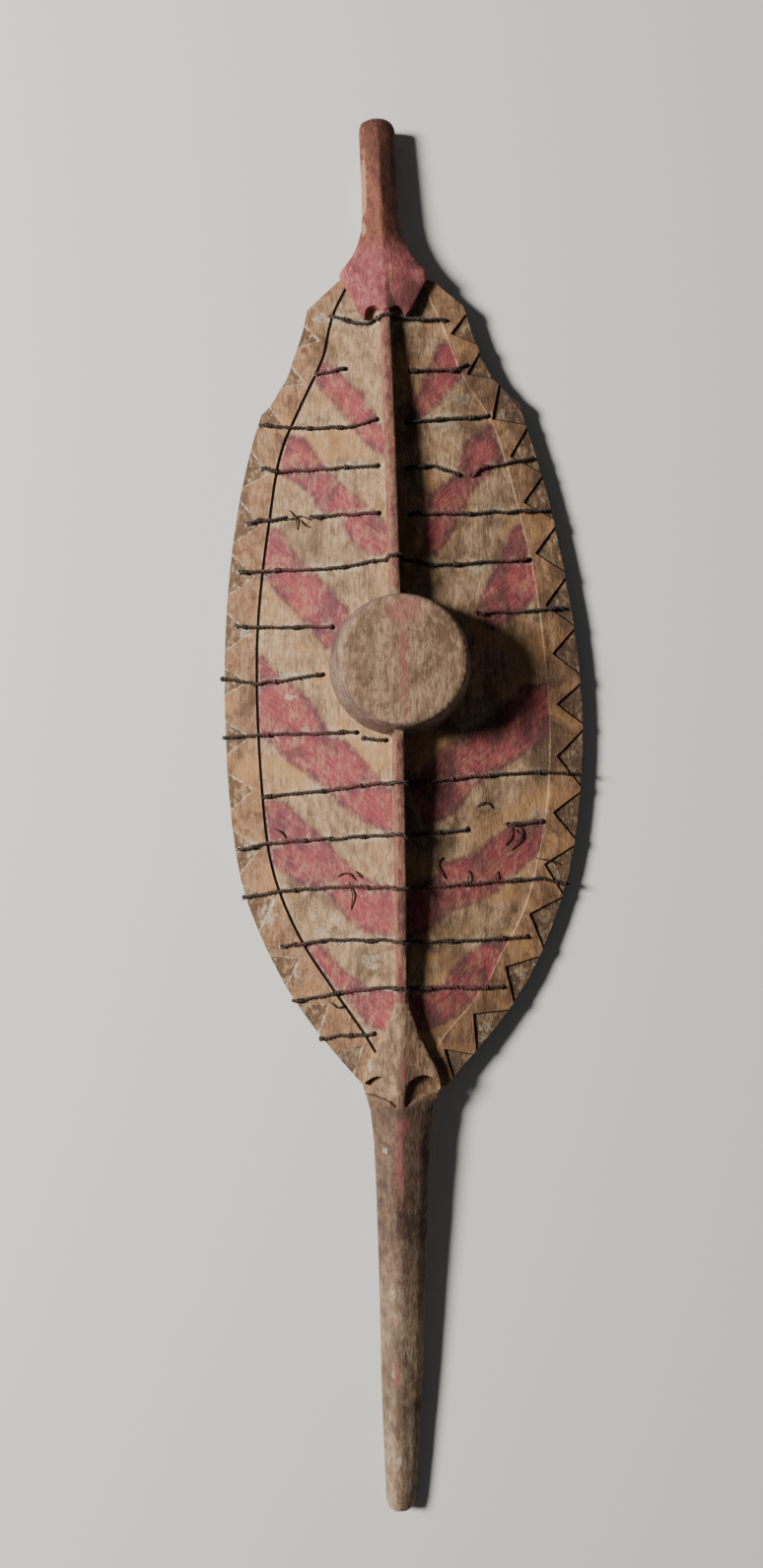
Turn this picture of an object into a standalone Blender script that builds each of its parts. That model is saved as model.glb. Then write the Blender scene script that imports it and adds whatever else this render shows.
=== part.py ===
"""A carved wooden war shield with cord lashings, lying face up on its two tips.

The shield is one carved piece: a thin leaf-shaped board whose halves slope away from a tall keel,
a drum-shaped boss with a grip behind it, a short prong above and a long tapering handle below.
Rows of plant-fibre cord are stitched through it and are pieces of their own.
+X is to the right of the face, +Y runs along the shield to the short prong, +Z is the face.
"""

import math

import bmesh
import bpy
from mathutils import Vector

# Lengths along the shield, in metres
PRONG_LENGTH = 0.172
BOARD_LENGTH = 0.847
HANDLE_LENGTH = 0.440
TOP_FLARE_LENGTH = 0.046
BOTTOM_FLARE_LENGTH = 0.0995
LENGTH = PRONG_LENGTH + BOARD_LENGTH + HANDLE_LENGTH

# Board: its two halves differ a little, as they were cut by eye
LEFT_WIDTH = 0.179
RIGHT_WIDTH = 0.199
RIDGE_HEIGHT = 0.054
BOARD_BOW = 0.018
FACE_SLOPE = 0.176
EDGE_THICKNESS = 0.007
CENTRE_THICKNESS = 0.012
STEP_DEPTH = 0.0018
STEP_RUN = 0.0006
SIDE_BEND = 0.009
STATION_SPACING = 0.028

# Sunk triangles along the border
TRIANGLE_REACH = 0.028
TRIANGLE_BORDER_SHARE = 0.8
TRIANGLE_DEPTH = 0.0026
TRIANGLE_EDGE_DEPTH = 0.0014

# Keel
KEEL_HEIGHT = 0.027
KEEL_SPAN = 0.456
KEEL_CREST_WIDTH = 0.0086
KEEL_FOOT_WIDTH = 0.013
KEEL_ROOT = 0.014

# Boss
BOSS_FROM_TOP = 0.410
BOSS_OFFSET = 0.0045
BOSS_HEIGHT = 0.048
BOSS_FOOT_RADIUS = 0.0745
BOSS_RIM_RADIUS = 0.067
BOSS_DOME = 0.004
BOSS_ROUNDING = 0.006
BOSS_STEPS = 48

# Hollow behind the boss, and the grip across it
BOSS_WALL = 0.013
HOLLOW_RADIUS = 0.056
HOLLOW_STEPS = 32
GRIP_WIDTH = 0.027
GRIP_THICKNESS = 0.022
GRIP_STANDOFF = 0.010
GRIP_OVERLAP = 0.020
GRIP_ROUNDING = 0.005

# Prong and handle, with the flat spots that they rest on
PRONG_WIDTH = 0.0386
PRONG_THICKNESS = 0.032
TOP_FLARE_WIDTH = 0.094
HANDLE_TIP_WIDTH = 0.031
HANDLE_ROOT_WIDTH = 0.058
HANDLE_TIP_THICKNESS = 0.022
BOTTOM_FLARE_WIDTH = 0.081
REST_LENGTH = 0.040
CREST_WIDTH = 0.0075
FACET_SHARE = 0.66
UNDER_SHARE = 0.72
SCALLOP_RADIUS = 0.009
SCALLOP_OFFSET = 0.0125
SCALLOP_RISE = 0.0025
TONGUE_RISE = 0.0075
POCKET_WIDTH = 0.0365
POCKET_DEPTH = 0.0032

# Cord lashings
CORD_DIAMETER = 0.0032
CORD_GAP = 0.0004
CORD_SPACING = 0.014
HOLE_RADIUS = 0.0027
HOLE_SIDES = 6
CORD_TAIL = 0.004
WRAP_LENGTH = 0.012

BOARD_TOP = LENGTH / 2 - PRONG_LENGTH
BOSS_Y = BOARD_TOP - BOSS_FROM_TOP
CORD_CLEAR = CORD_DIAMETER / 2 + CORD_GAP

# The outline, as runs of (share of the board's length, share of that half's width).
# A corner of the outline is where two runs meet.
LEFT_EDGE = (
    ((0.0, 0.257), (0.036, 0.454)),
    ((0.036, 0.454), (0.074, 0.505), (0.124, 0.595), (0.155, 0.688), (0.166, 0.745)),
    ((0.166, 0.745), (0.215, 0.819), (0.287, 0.900), (0.367, 0.957), (0.459, 0.993), (0.547, 1.0),
     (0.655, 0.979), (0.747, 0.918), (0.811, 0.814), (0.877, 0.662), (0.939, 0.459), (1.0, 0.21)),
)
RIGHT_EDGE = (
    ((0.0, 0.264), (0.031, 0.428)),
    ((0.031, 0.428), (0.065, 0.466), (0.113, 0.546), (0.139, 0.628), (0.153, 0.708)),
    ((0.153, 0.708), (0.207, 0.774), (0.274, 0.849), (0.380, 0.933), (0.460, 0.979), (0.558, 1.0),
     (0.664, 0.968), (0.743, 0.909), (0.804, 0.820), (0.864, 0.705), (0.924, 0.528), (1.0, 0.235)),
)
# The step between the sunk field and the raised border, in the same shares
LEFT_STEP = (
    ((0.0, 0.20), (0.047, 0.316), (0.097, 0.376), (0.157, 0.515), (0.216, 0.641), (0.301, 0.719),
     (0.386, 0.779), (0.460, 0.809), (0.560, 0.811), (0.693, 0.772), (0.753, 0.711), (0.820, 0.575),
     (0.878, 0.400), (0.936, 0.213), (1.0, 0.04)),
)
RIGHT_STEP = (
    ((0.0, 0.19), (0.050, 0.294), (0.124, 0.410), (0.180, 0.558), (0.265, 0.658), (0.352, 0.739),
     (0.424, 0.782), (0.491, 0.806), (0.553, 0.819), (0.602, 0.814), (0.675, 0.784), (0.784, 0.668),
     (0.838, 0.540), (0.885, 0.430), (0.932, 0.246), (1.0, 0.04)),
)
# Where each sunk triangle's base starts and ends, as shares of the board's length
LEFT_TRIANGLES = (
    (0.054, 0.085), (0.106, 0.133), (0.156, 0.182), (0.210, 0.259), (0.272, 0.328),
    (0.339, 0.393), (0.412, 0.462), (0.481, 0.516), (0.546, 0.590), (0.610, 0.658),
    (0.681, 0.737), (0.749, 0.808), (0.835, 0.875), (0.896, 0.934), (0.955, 0.984),
)
RIGHT_TRIANGLES = (
    (0.040, 0.079), (0.089, 0.123), (0.131, 0.180), (0.183, 0.241), (0.244, 0.299),
    (0.308, 0.366), (0.372, 0.434), (0.436, 0.495), (0.505, 0.557), (0.563, 0.635),
    (0.641, 0.701), (0.708, 0.770), (0.772, 0.836), (0.845, 0.902), (0.910, 0.959),
    (0.963, 0.991),
)

# Each lashing: its points on the face in metres, and how it ends on the left and on the right.
# One that crosses the keel goes over the crest between its left and its right points.
LASHINGS = (
    ("lashing_01", ((-0.052, 0.518), (-0.030, 0.5105), (-0.013, 0.5070), (-0.006, 0.5125)),
     ((0.029, 0.5130), (0.069, 0.514)), "hole", "hole"),
    ("lashing_02_left", ((-0.068, 0.457), (-0.038, 0.461)), (), "hole", "hole"),
    ("lashing_02_right", ((0.030, 0.457), (0.077, 0.460), (0.091, 0.467)), (), "hole", "hole"),
    ("lashing_03_left", ((-0.128, 0.405), (-0.097, 0.400), (-0.033, 0.398), (-0.006, 0.405)),
     (), "hole", "hole"),
    ("lashing_03_right", ((0.024, 0.402), (0.113, 0.413)), (), "hole", "hole"),
    ("lashing_04_left", ((-0.127, 0.359), (-0.112, 0.354), (-0.006, 0.356)), (), "hole", "hole"),
    ("lashing_04_middle", ((0.024, 0.353), (0.052, 0.356), (0.080, 0.348)), (), "hole", "hole"),
    ("lashing_04_right", ((0.094, 0.348), (0.102, 0.356), (0.161, 0.369)), (), "hole", "hole"),
    ("lashing_05_left", ((-0.143, 0.301), (-0.103, 0.305)), (), "hole", "hole"),
    ("lashing_05_middle", ((-0.076, 0.305), (-0.006, 0.306)), (), "hole", "hole"),
    ("lashing_05_right", ((0.026, 0.304), (0.176, 0.313)), (), "hole", "hole"),
    ("lashing_06", ((-0.152, 0.250), (-0.047, 0.250), (-0.006, 0.256)),
     ((0.026, 0.256), (0.053, 0.251), (0.104, 0.256), (0.154, 0.260)), "hole", "hole"),
    ("lashing_07_left", ((-0.156, 0.193), (-0.131, 0.191), (-0.056, 0.189)), (), "hole", "hole"),
    ("lashing_07_right", ((0.098, 0.202), (0.189, 0.209)), (), "hole", "hole"),
    ("lashing_08_left", ((-0.168, 0.138), (-0.134, 0.132), (-0.067, 0.140)), (), "edge", "hole"),
    ("lashing_09_left", ((-0.168, 0.077), (-0.135, 0.079), (-0.033, 0.079)), (), "edge", "hole"),
    ("lashing_09_middle", ((-0.026, 0.0725), (-0.003, 0.0700)), (), "hole", "hole"),
    ("lashing_10", ((-0.131, 0.014), (-0.077, 0.019), (-0.006, 0.026)),
     ((0.026, 0.026), (0.098, 0.032), (0.167, 0.036), (0.202, 0.033)), "hole", "edge"),
    ("lashing_11", ((-0.158, -0.040), (-0.127, -0.034), (-0.006, -0.027)),
     ((0.026, -0.028), (0.081, -0.023)), "hole", "hole"),
    ("lashing_11_right", ((0.125, -0.019), (0.162, -0.016)), (), "hole", "hole"),
    ("lashing_12", ((-0.152, -0.090), (-0.117, -0.084), (-0.043, -0.080), (-0.006, -0.082)),
     ((0.026, -0.082), (0.106, -0.079), (0.160, -0.076), (0.182, -0.083)), "edge", "edge"),
    ("lashing_13", ((-0.115, -0.142), (-0.069, -0.135), (-0.006, -0.136)),
     ((0.026, -0.138), (0.084, -0.139), (0.144, -0.137)), "hole", "hole"),
    ("lashing_14", ((-0.099, -0.199), (-0.060, -0.190), (-0.008, -0.1845)),
     ((0.026, -0.1865), (0.117, -0.189)), "edge", "hole"),
    ("lashing_15_left", ((-0.071, -0.238), (-0.055, -0.234), (-0.020, -0.233)), (), "edge", "hole"),
)


def smooth_value(points, t):
    """The value at t of a smooth curve through (t, value) points."""
    last = len(points) - 1
    t = min(max(t, points[0][0]), points[-1][0])
    i = next(k for k in range(last) if t <= points[k + 1][0] or k == last - 1)
    (t0, v0), (t1, v1) = points[i], points[i + 1]
    gap = t1 - t0
    before = points[i - 1] if i > 0 else (t0 - gap, 2 * v0 - v1)
    after = points[i + 2] if i + 2 <= last else (t1 + gap, 2 * v1 - v0)
    m0 = (v1 - before[1]) / (t1 - before[0]) * gap
    m1 = (after[1] - v0) / (after[0] - t0) * gap
    u = (t - t0) / gap
    return (
        (2 * u**3 - 3 * u**2 + 1) * v0
        + (u**3 - 2 * u**2 + u) * m0
        + (3 * u**2 - 2 * u**3) * v1
        + (u**3 - u**2) * m1
    )


def straight_value(points, t):
    """The value at t of the straight pieces between (t, value) points."""
    for (t0, v0), (t1, v1) in zip(points, points[1:]):
        if t <= t1:
            return v0 + (v1 - v0) * max(t - t0, 0.0) / (t1 - t0)
    return points[-1][1]


def share_at(runs, s):
    run = next((r for r in runs if s <= r[-1][0]), runs[-1])
    return smooth_value(run, s)


def centre_x(y):
    """The plank's centreline, which bends a little to the right."""
    return SIDE_BEND * (1 - (2 * y / LENGTH) ** 2)


def board_share(y):
    return (BOARD_TOP - y) / BOARD_LENGTH


def board_y(s):
    return BOARD_TOP - s * BOARD_LENGTH


def edge_offset(side, s):
    """How far the outline is from the centreline: side is -1 on the left and 1 on the right."""
    if side < 0:
        return LEFT_WIDTH * share_at(LEFT_EDGE, s)
    return RIGHT_WIDTH * share_at(RIGHT_EDGE, s)


def step_offset(side, s):
    if side < 0:
        return LEFT_WIDTH * share_at(LEFT_STEP, s)
    return RIGHT_WIDTH * share_at(RIGHT_STEP, s)


def ridge_z(y):
    return RIDGE_HEIGHT - BOARD_BOW * (2 * board_share(y) - 1) ** 2


def border_z(x, y):
    """The sloping plane that the border and the tops of its teeth lie in."""
    return ridge_z(y) - FACE_SLOPE * abs(x - centre_x(y))


def face_z(x, y):
    """The board's face: the border, or the field sunk below it."""
    offset = x - centre_x(y)
    side = -1 if offset < 0 else 1
    inside = abs(offset) < step_offset(side, board_share(y))
    return border_z(x, y) - (STEP_DEPTH if inside else 0.0)


def back_z(x, y):
    offset = x - centre_x(y)
    side = -1 if offset < 0 else 1
    share = min(abs(offset) / edge_offset(side, board_share(y)), 1.0)
    return border_z(x, y) - CENTRE_THICKNESS - (EDGE_THICKNESS - CENTRE_THICKNESS) * share


def keel_crest_z(y):
    height = KEEL_HEIGHT * (1 - ((y - BOSS_Y) / KEEL_SPAN) ** 2)
    return ridge_z(y) - STEP_DEPTH + height


def stations(start, end, corners=()):
    """Places from start down to end, no further apart than the spacing, with every corner among them."""
    marks = sorted({start, end, *corners}, reverse=True)
    places = [marks[0]]
    for high, low in zip(marks, marks[1:]):
        count = max(1, math.ceil((high - low) / STATION_SPACING))
        places += [high + (low - high) * k / count for k in range(1, count + 1)]
    return places


def make_material(name, colour, roughness):
    material = bpy.data.materials.new(name)
    material.use_nodes = True
    shader = material.node_tree.nodes["Principled BSDF"]
    shader.inputs["Base Color"].default_value = (*colour, 1.0)
    shader.inputs["Roughness"].default_value = roughness
    shader.inputs["Metallic"].default_value = 0.0
    return material


def make_object(name, mesh, collection, material=None):
    obj = bpy.data.objects.new(name, mesh)
    collection.objects.link(obj)
    if material:
        mesh.materials.append(material)
    if collection.hide_render:
        obj.hide_render = True
        obj.display_type = "WIRE"
    return obj


def loft(name, sections, collection):
    """A closed skin over cross-sections that all have the same number of points."""
    form = bmesh.new()
    rings = [[form.verts.new(point) for point in section] for section in sections]
    count = len(rings[0])
    for first, second in zip(rings, rings[1:]):
        for k in range(count):
            after = (k + 1) % count
            form.faces.new((first[k], second[k], second[after], first[after]))
    form.faces.new(rings[0])
    form.faces.new(reversed(rings[-1]))
    bmesh.ops.recalc_face_normals(form, faces=form.faces)
    mesh = bpy.data.meshes.new(name)
    form.to_mesh(mesh)
    form.free()
    return make_object(name, mesh, collection)


def prism(form, outline, bottom_z, top_z):
    """Adds a prism to form: outline is (x, y) points, and bottom_z gives its floor at each of them."""
    low = [form.verts.new((x, y, bottom_z(x, y))) for x, y in outline]
    high = [form.verts.new((x, y, top_z)) for x, y in outline]
    count = len(outline)
    for k in range(count):
        after = (k + 1) % count
        form.faces.new((low[k], low[after], high[after], high[k]))
    form.faces.new(reversed(low))
    form.faces.new(high)


def prisms_object(name, outlines, bottom_z, top_z, collection):
    form = bmesh.new()
    for outline in outlines:
        prism(form, outline, bottom_z, top_z)
    bmesh.ops.recalc_face_normals(form, faces=form.faces)
    mesh = bpy.data.meshes.new(name)
    form.to_mesh(mesh)
    form.free()
    return make_object(name, mesh, collection)


def turned_mesh(name, profile, steps, collection):
    """A mesh turned about Z from (radius, z) points that start on the axis and end on it."""
    mesh = bpy.data.meshes.new(name)
    edges = [(k, k + 1) for k in range(len(profile) - 1)]
    mesh.from_pydata([(radius, 0.0, z) for radius, z in profile], edges, [])
    obj = make_object(name, mesh, collection)
    screw = obj.modifiers.new("Turn", "SCREW")
    screw.steps = steps
    screw.render_steps = steps
    screw.use_merge_vertices = True
    screw.merge_threshold = 0.0001
    bpy.context.view_layer.update()
    evaluated = obj.evaluated_get(bpy.context.evaluated_depsgraph_get())
    turned = bpy.data.meshes.new_from_object(evaluated)
    bpy.data.objects.remove(obj)
    form = bmesh.new()
    form.from_mesh(turned)
    bmesh.ops.remove_doubles(form, verts=form.verts, dist=0.00001)
    bmesh.ops.recalc_face_normals(form, faces=form.faces)
    form.to_mesh(turned)
    form.free()
    return turned


def add_boolean(obj, other, operation):
    modifier = obj.modifiers.new(f"{operation.title()} {other.name}", "BOOLEAN")
    modifier.operation = operation
    modifier.solver = "EXACT"
    modifier.object = other


def board(collection):
    """The leaf-shaped board, with its border standing above the sunk field."""
    corners = [board_y(run[-1][0]) for edge in (LEFT_EDGE, RIGHT_EDGE) for run in edge[:-1]]
    sections = []
    for y in stations(board_y(0.0), board_y(1.0), corners):
        s = board_share(y)
        centre = centre_x(y)
        top = []
        for side in (-1, 1):
            edge = centre + side * edge_offset(side, s)
            step = centre + side * step_offset(side, s)
            foot = step - side * STEP_RUN
            half = [
                (edge, y, border_z(edge, y)),
                (step, y, border_z(step, y)),
                (foot, y, border_z(foot, y) - STEP_DEPTH),
            ]
            top += half if side < 0 else [(centre, y, ridge_z(y) - STEP_DEPTH), *reversed(half)]
        left, right = top[0][0], top[-1][0]
        back = [(x, y, back_z(x, y)) for x in (right, centre, left)]
        sections.append(top + back)
    return loft("shield_body", sections, collection)


def keel(collection):
    """The tall narrow keel, whose ends run on inside the two flares."""
    start = board_y(0.0) - TOP_FLARE_LENGTH / 2
    end = board_y(1.0) + BOTTOM_FLARE_LENGTH * 0.7
    sections = []
    for y in stations(start, end):
        centre = centre_x(y)
        crest = KEEL_CREST_WIDTH / 2
        foot = KEEL_FOOT_WIDTH / 2
        low = keel_crest_z(y) - KEEL_ROOT
        root = min(low, ridge_z(y) - CENTRE_THICKNESS / 2)
        sections.append([
            (centre - crest, y, keel_crest_z(y)),
            (centre + crest, y, keel_crest_z(y)),
            (centre + foot, y, root),
            (centre - foot, y, root),
        ])
    return loft("shape_keel", sections, collection)


def boss(collection):
    """The drum-shaped boss, whose foot follows the slope of the board."""
    centre = Vector((centre_x(BOSS_Y) + BOSS_OFFSET, BOSS_Y, ridge_z(BOSS_Y)))
    foot_z = -FACE_SLOPE * BOSS_FOOT_RADIUS
    rounding = [
        (BOSS_RIM_RADIUS - BOSS_ROUNDING * (1 - math.sin(turn)),
         BOSS_HEIGHT - BOSS_DOME - BOSS_ROUNDING * (1 - math.cos(turn)))
        for turn in (0.0, math.pi / 4, math.pi / 2)
    ]
    inner = BOSS_RIM_RADIUS * 0.5
    profile = [(0.0, BOSS_HEIGHT), (inner, BOSS_HEIGHT - BOSS_DOME * 0.3), *rounding]
    profile += [(BOSS_FOOT_RADIUS, foot_z), (0.0, foot_z)]
    mesh = turned_mesh("shape_boss", profile, BOSS_STEPS, collection)
    for vertex in mesh.vertices:
        if vertex.co.z > foot_z + 0.001:
            continue
        place = centre + Vector((vertex.co.x, vertex.co.y, 0.0))
        middle = (face_z(place.x, place.y) + back_z(place.x, place.y)) / 2
        vertex.co.z = middle - centre.z
    obj = make_object("shape_boss", mesh, collection)
    obj.location = centre
    return obj


def hollow(collection):
    """The bowl cut from behind into the boss."""
    centre = Vector((centre_x(BOSS_Y) + BOSS_OFFSET, BOSS_Y, ridge_z(BOSS_Y)))
    roof = BOSS_HEIGHT - BOSS_DOME - BOSS_WALL
    floor = -CENTRE_THICKNESS - GRIP_STANDOFF * 2
    profile = [(0.0, roof)]
    profile += [
        (HOLLOW_RADIUS * math.sin(turn), roof * math.cos(turn) ** 0.7)
        for turn in (math.radians(d) for d in (35, 55, 70, 82))
    ]
    profile += [(HOLLOW_RADIUS, -CENTRE_THICKNESS * 0.5), (HOLLOW_RADIUS * 1.1, floor), (0.0, floor)]
    mesh = turned_mesh("cut_hollow", profile, HOLLOW_STEPS, collection)
    obj = make_object("cut_hollow", mesh, collection)
    obj.location = centre
    return obj


def grip_back_z():
    """The height of the grip's flat rear face."""
    return ridge_z(BOSS_Y) - CENTRE_THICKNESS - GRIP_STANDOFF


def grip(collection):
    """The grip left standing across the hollow, along the grain."""
    length = 2 * (HOLLOW_RADIUS + GRIP_OVERLAP)
    bpy.ops.mesh.primitive_cube_add(size=1.0)
    obj = bpy.context.object
    obj.name = "shape_grip"
    for linked in list(obj.users_collection):
        linked.objects.unlink(obj)
    collection.objects.link(obj)
    obj.data.transform(obj.matrix_world.Diagonal((GRIP_WIDTH, length, GRIP_THICKNESS, 1.0)))
    obj.location = (
        centre_x(BOSS_Y) + BOSS_OFFSET,
        BOSS_Y,
        grip_back_z() + GRIP_THICKNESS / 2,
    )
    bevel = obj.modifiers.new("Rounding", "BEVEL")
    bevel.width = GRIP_ROUNDING
    bevel.segments = 2
    bevel.limit_method = "NONE"
    obj.hide_render = True
    obj.display_type = "WIRE"
    return obj


def bar_section(y, centre, half, crest, heights, drop):
    """A faceted bar's cross-section: a narrow crest, sloping facets, upright sides and a flat underside.

    drop is how much of the fall from the crest to the side is over at the facet's lower edge.
    """
    crest_z, top_z, low_z, under_z = heights
    facet = FACET_SHARE
    facet_z = crest_z + (top_z - crest_z) * drop
    under = UNDER_SHARE * half
    left, right = crest
    return [
        (centre + left, y, crest_z),
        (centre + right, y, crest_z),
        (centre + facet * half, y, facet_z),
        (centre + half, y, top_z),
        (centre + half, y, low_z),
        (centre + under, y, under_z),
        (centre - under, y, under_z),
        (centre - half, y, low_z),
        (centre - half, y, top_z),
        (centre - facet * half, y, facet_z),
    ]


def flare_marks(root, flare, widths):
    """Distances from a tip, and the half widths there, of a bar that widens into a flare over the board."""
    return [(share * root if share <= 1 else root + (share - 1) * flare, width) for share, width in widths]


def prong(collection):
    """The short faceted prong, which flares into a raised diamond on the board."""
    flare_half = TOP_FLARE_WIDTH / 2
    half = PRONG_WIDTH / 2
    widths = flare_marks(PRONG_LENGTH, TOP_FLARE_LENGTH, (
        (0.0, half * 0.86), (0.03, half), (0.58, half), (0.69, half * 1.12), (0.79, half * 1.38),
        (0.87, half + (flare_half - half) * 0.52), (0.925, half + (flare_half - half) * 0.78),
        (0.965, flare_half), (1.0, flare_half * 0.97), (2.0, flare_half * 0.48),
    ))
    end = PRONG_LENGTH + TOP_FLARE_LENGTH
    board_end = ridge_z(LENGTH / 2 - end)
    crest_z = ((0.0, PRONG_THICKNESS), (end, board_end + 0.009))
    top_z = ((0.0, PRONG_THICKNESS * 0.66), (PRONG_LENGTH * 0.6, 0.025), (PRONG_LENGTH * 0.96, 0.0355),
             (end, board_end + 0.0045))
    low_z = ((0.0, PRONG_THICKNESS * 0.38), (PRONG_LENGTH * 0.6, 0.016), (PRONG_LENGTH * 0.96, 0.0235),
             (end, board_end - 0.006))
    under_z = ((0.0, 0.0), (REST_LENGTH, 0.0), (PRONG_LENGTH * 0.6, 0.004), (PRONG_LENGTH * 0.8, 0.009),
               (PRONG_LENGTH, 0.015), (end, board_end - 0.009))
    crest_half = ((0.0, 0.0009), (PRONG_LENGTH * 0.9, 0.0014), (end, KEEL_CREST_WIDTH * 0.4))
    facet_drop = ((0.0, 0.45), (PRONG_LENGTH * 0.6, 0.5), (PRONG_LENGTH * 0.9, FACET_SHARE))
    tip = LENGTH / 2
    marks = sorted({d for d, _ in widths} | {REST_LENGTH})
    sections = []
    for distance in marks:
        y = tip - distance
        heights = [straight_value(line, distance) for line in (crest_z, top_z, low_z, under_z)]
        crest = straight_value(crest_half, distance)
        drop = straight_value(facet_drop, distance)
        half = straight_value(widths, distance)
        sections.append(bar_section(y, centre_x(y), half, (-crest, crest), heights, drop))
    return loft("shape_prong", sections, collection)


def handle_lines():
    """The handle's widths and heights, as (distance from the tip, value) lines."""
    root = HANDLE_LENGTH
    end = root + BOTTOM_FLARE_LENGTH
    tip_half = HANDLE_TIP_WIDTH / 2
    root_half = HANDLE_ROOT_WIDTH / 2
    flare_half = BOTTOM_FLARE_WIDTH / 2
    widths = flare_marks(root, BOTTOM_FLARE_LENGTH, (
        (0.0, tip_half * 0.8), (0.018, tip_half), (0.12, tip_half * 1.16), (0.31, tip_half * 1.39),
        (0.54, root_half * 0.83), (0.73, root_half * 0.92), (0.86, root_half), (0.945, root_half * 1.13),
        (0.985, flare_half * 0.93), (1.0, flare_half), (1.10, flare_half * 0.97), (1.23, flare_half * 0.85),
        (1.37, flare_half * 0.67), (1.53, flare_half * 0.48), (1.70, flare_half * 0.33),
        (1.84, flare_half * 0.20), (2.0, flare_half * 0.14),
    ))
    neck = root * 0.945
    start_z = ridge_z(board_y(1.0))
    end_z = ridge_z(end - LENGTH / 2)
    crest = ((0.0, HANDLE_TIP_THICKNESS), (neck, start_z + 0.010), (end, end_z + 0.0112))
    top = ((0.0, HANDLE_TIP_THICKNESS * 0.55), (neck, start_z - 0.005), (root, start_z + 0.0015),
           (root + BOTTOM_FLARE_LENGTH * 0.53, end_z + 0.003), (end, end_z + 0.0095))
    low = ((0.0, HANDLE_TIP_THICKNESS * 0.28), (neck, start_z - 0.013), (root, start_z - 0.011),
           (root + BOTTOM_FLARE_LENGTH * 0.23, start_z - 0.009), (end, end_z - 0.006))
    under = ((0.0, 0.0), (REST_LENGTH, 0.0), (neck, 0.013), (root, 0.016),
             (root + BOTTOM_FLARE_LENGTH * 0.23, start_z - CENTRE_THICKNESS + 0.004),
             (end, end_z - CENTRE_THICKNESS + 0.003))
    return widths, (crest, top, low, under)


def handle(collection):
    """The long tapering handle, which flares into a raised arrowhead on the board."""
    widths, lines = handle_lines()
    root = HANDLE_LENGTH
    end = widths[-1][0]
    crest_left = ((0.0, -CREST_WIDTH), (root * 0.9, -CREST_WIDTH), (root, -CREST_WIDTH * 0.5),
                  (root + BOTTOM_FLARE_LENGTH * 0.3, -CREST_WIDTH * 0.15),
                  (root + BOTTOM_FLARE_LENGTH * 0.8, -CREST_WIDTH * 0.2), (end, -CREST_WIDTH * 0.4))
    crest_right = ((0.0, 0.0), (root * 0.9, 0.0), (root, CREST_WIDTH * 0.15),
                   (root + BOTTOM_FLARE_LENGTH * 0.8, CREST_WIDTH * 0.2), (end, CREST_WIDTH * 0.4))
    facet_drop = ((0.0, 0.5), (root * 0.9, 0.5), (root, FACET_SHARE))
    marks = sorted({d for d, _ in widths} | {REST_LENGTH})
    sections = []
    for distance in reversed(marks):
        y = distance - LENGTH / 2
        crest = (straight_value(crest_left, distance), straight_value(crest_right, distance))
        half = straight_value(widths, distance)
        heights = [straight_value(line, distance) for line in lines]
        drop = straight_value(facet_drop, distance)
        sections.append(bar_section(y, centre_x(y), half, crest, heights, drop))
    return loft("shape_handle", sections, collection)


def triangles(collection):
    """The sunk triangles of the border: bases on the outline, points towards the field."""
    outlines = []
    floors = {}
    for side, spans in ((-1, LEFT_TRIANGLES), (1, RIGHT_TRIANGLES)):
        for start, end in spans:
            base = []
            for s in (start, end):
                y = board_y(s)
                base.append(Vector((centre_x(y) + side * edge_offset(side, s), y)))
            along = (base[1] - base[0]).normalized()
            inward = Vector((-along.y, along.x))
            if inward.x * side > 0:
                inward.negate()
            middle = (base[0] + base[1]) / 2
            s_middle = (start + end) / 2
            border = edge_offset(side, s_middle) - step_offset(side, s_middle)
            reach = min(TRIANGLE_REACH, TRIANGLE_BORDER_SHARE * border)
            apex = middle + inward * reach
            grow = (reach + TRIANGLE_DEPTH * 2) / reach
            outer = [apex + (corner - apex) * grow for corner in base]
            outline = [tuple(apex), tuple(outer[0]), tuple(outer[1])]
            for point, depth in zip(outline, (TRIANGLE_DEPTH, TRIANGLE_EDGE_DEPTH, TRIANGLE_EDGE_DEPTH)):
                floors[point] = border_z(*point) - depth
            outlines.append(outline)
    return prisms_object("cut_triangles", outlines, lambda x, y: floors[(x, y)], 0.07, collection)


def scallops(collection):
    """Round notches in the flare's lower edge beside the keel, and the short tongue left between them."""
    end = board_y(0.0) - TOP_FLARE_LENGTH
    centre = centre_x(end)
    outlines = []
    for side in (-1, 1):
        x = centre + side * SCALLOP_OFFSET
        y = end + SCALLOP_RISE
        turns = (math.tau * k / 16 for k in range(16))
        outlines.append([(x + SCALLOP_RADIUS * math.cos(a), y + SCALLOP_RADIUS * math.sin(a)) for a in turns])
    tongue = end + TONGUE_RISE
    corner = end + TONGUE_RISE * 0.6
    outer = centre + TOP_FLARE_WIDTH / 2
    outlines.append([
        (centre - SCALLOP_OFFSET, end - SCALLOP_RADIUS),
        (outer, end - SCALLOP_RADIUS),
        (outer, corner),
        (centre + SCALLOP_OFFSET * 1.4, corner),
        (centre + SCALLOP_OFFSET * 1.2, tongue),
        (centre - SCALLOP_OFFSET, tongue),
    ])
    cutters = [
        prisms_object(f"cut_notch_{k}", [outline], lambda x, y: 0.0, 0.07, collection)
        for k, outline in enumerate(outlines, 1)
    ]
    return cutters


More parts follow.
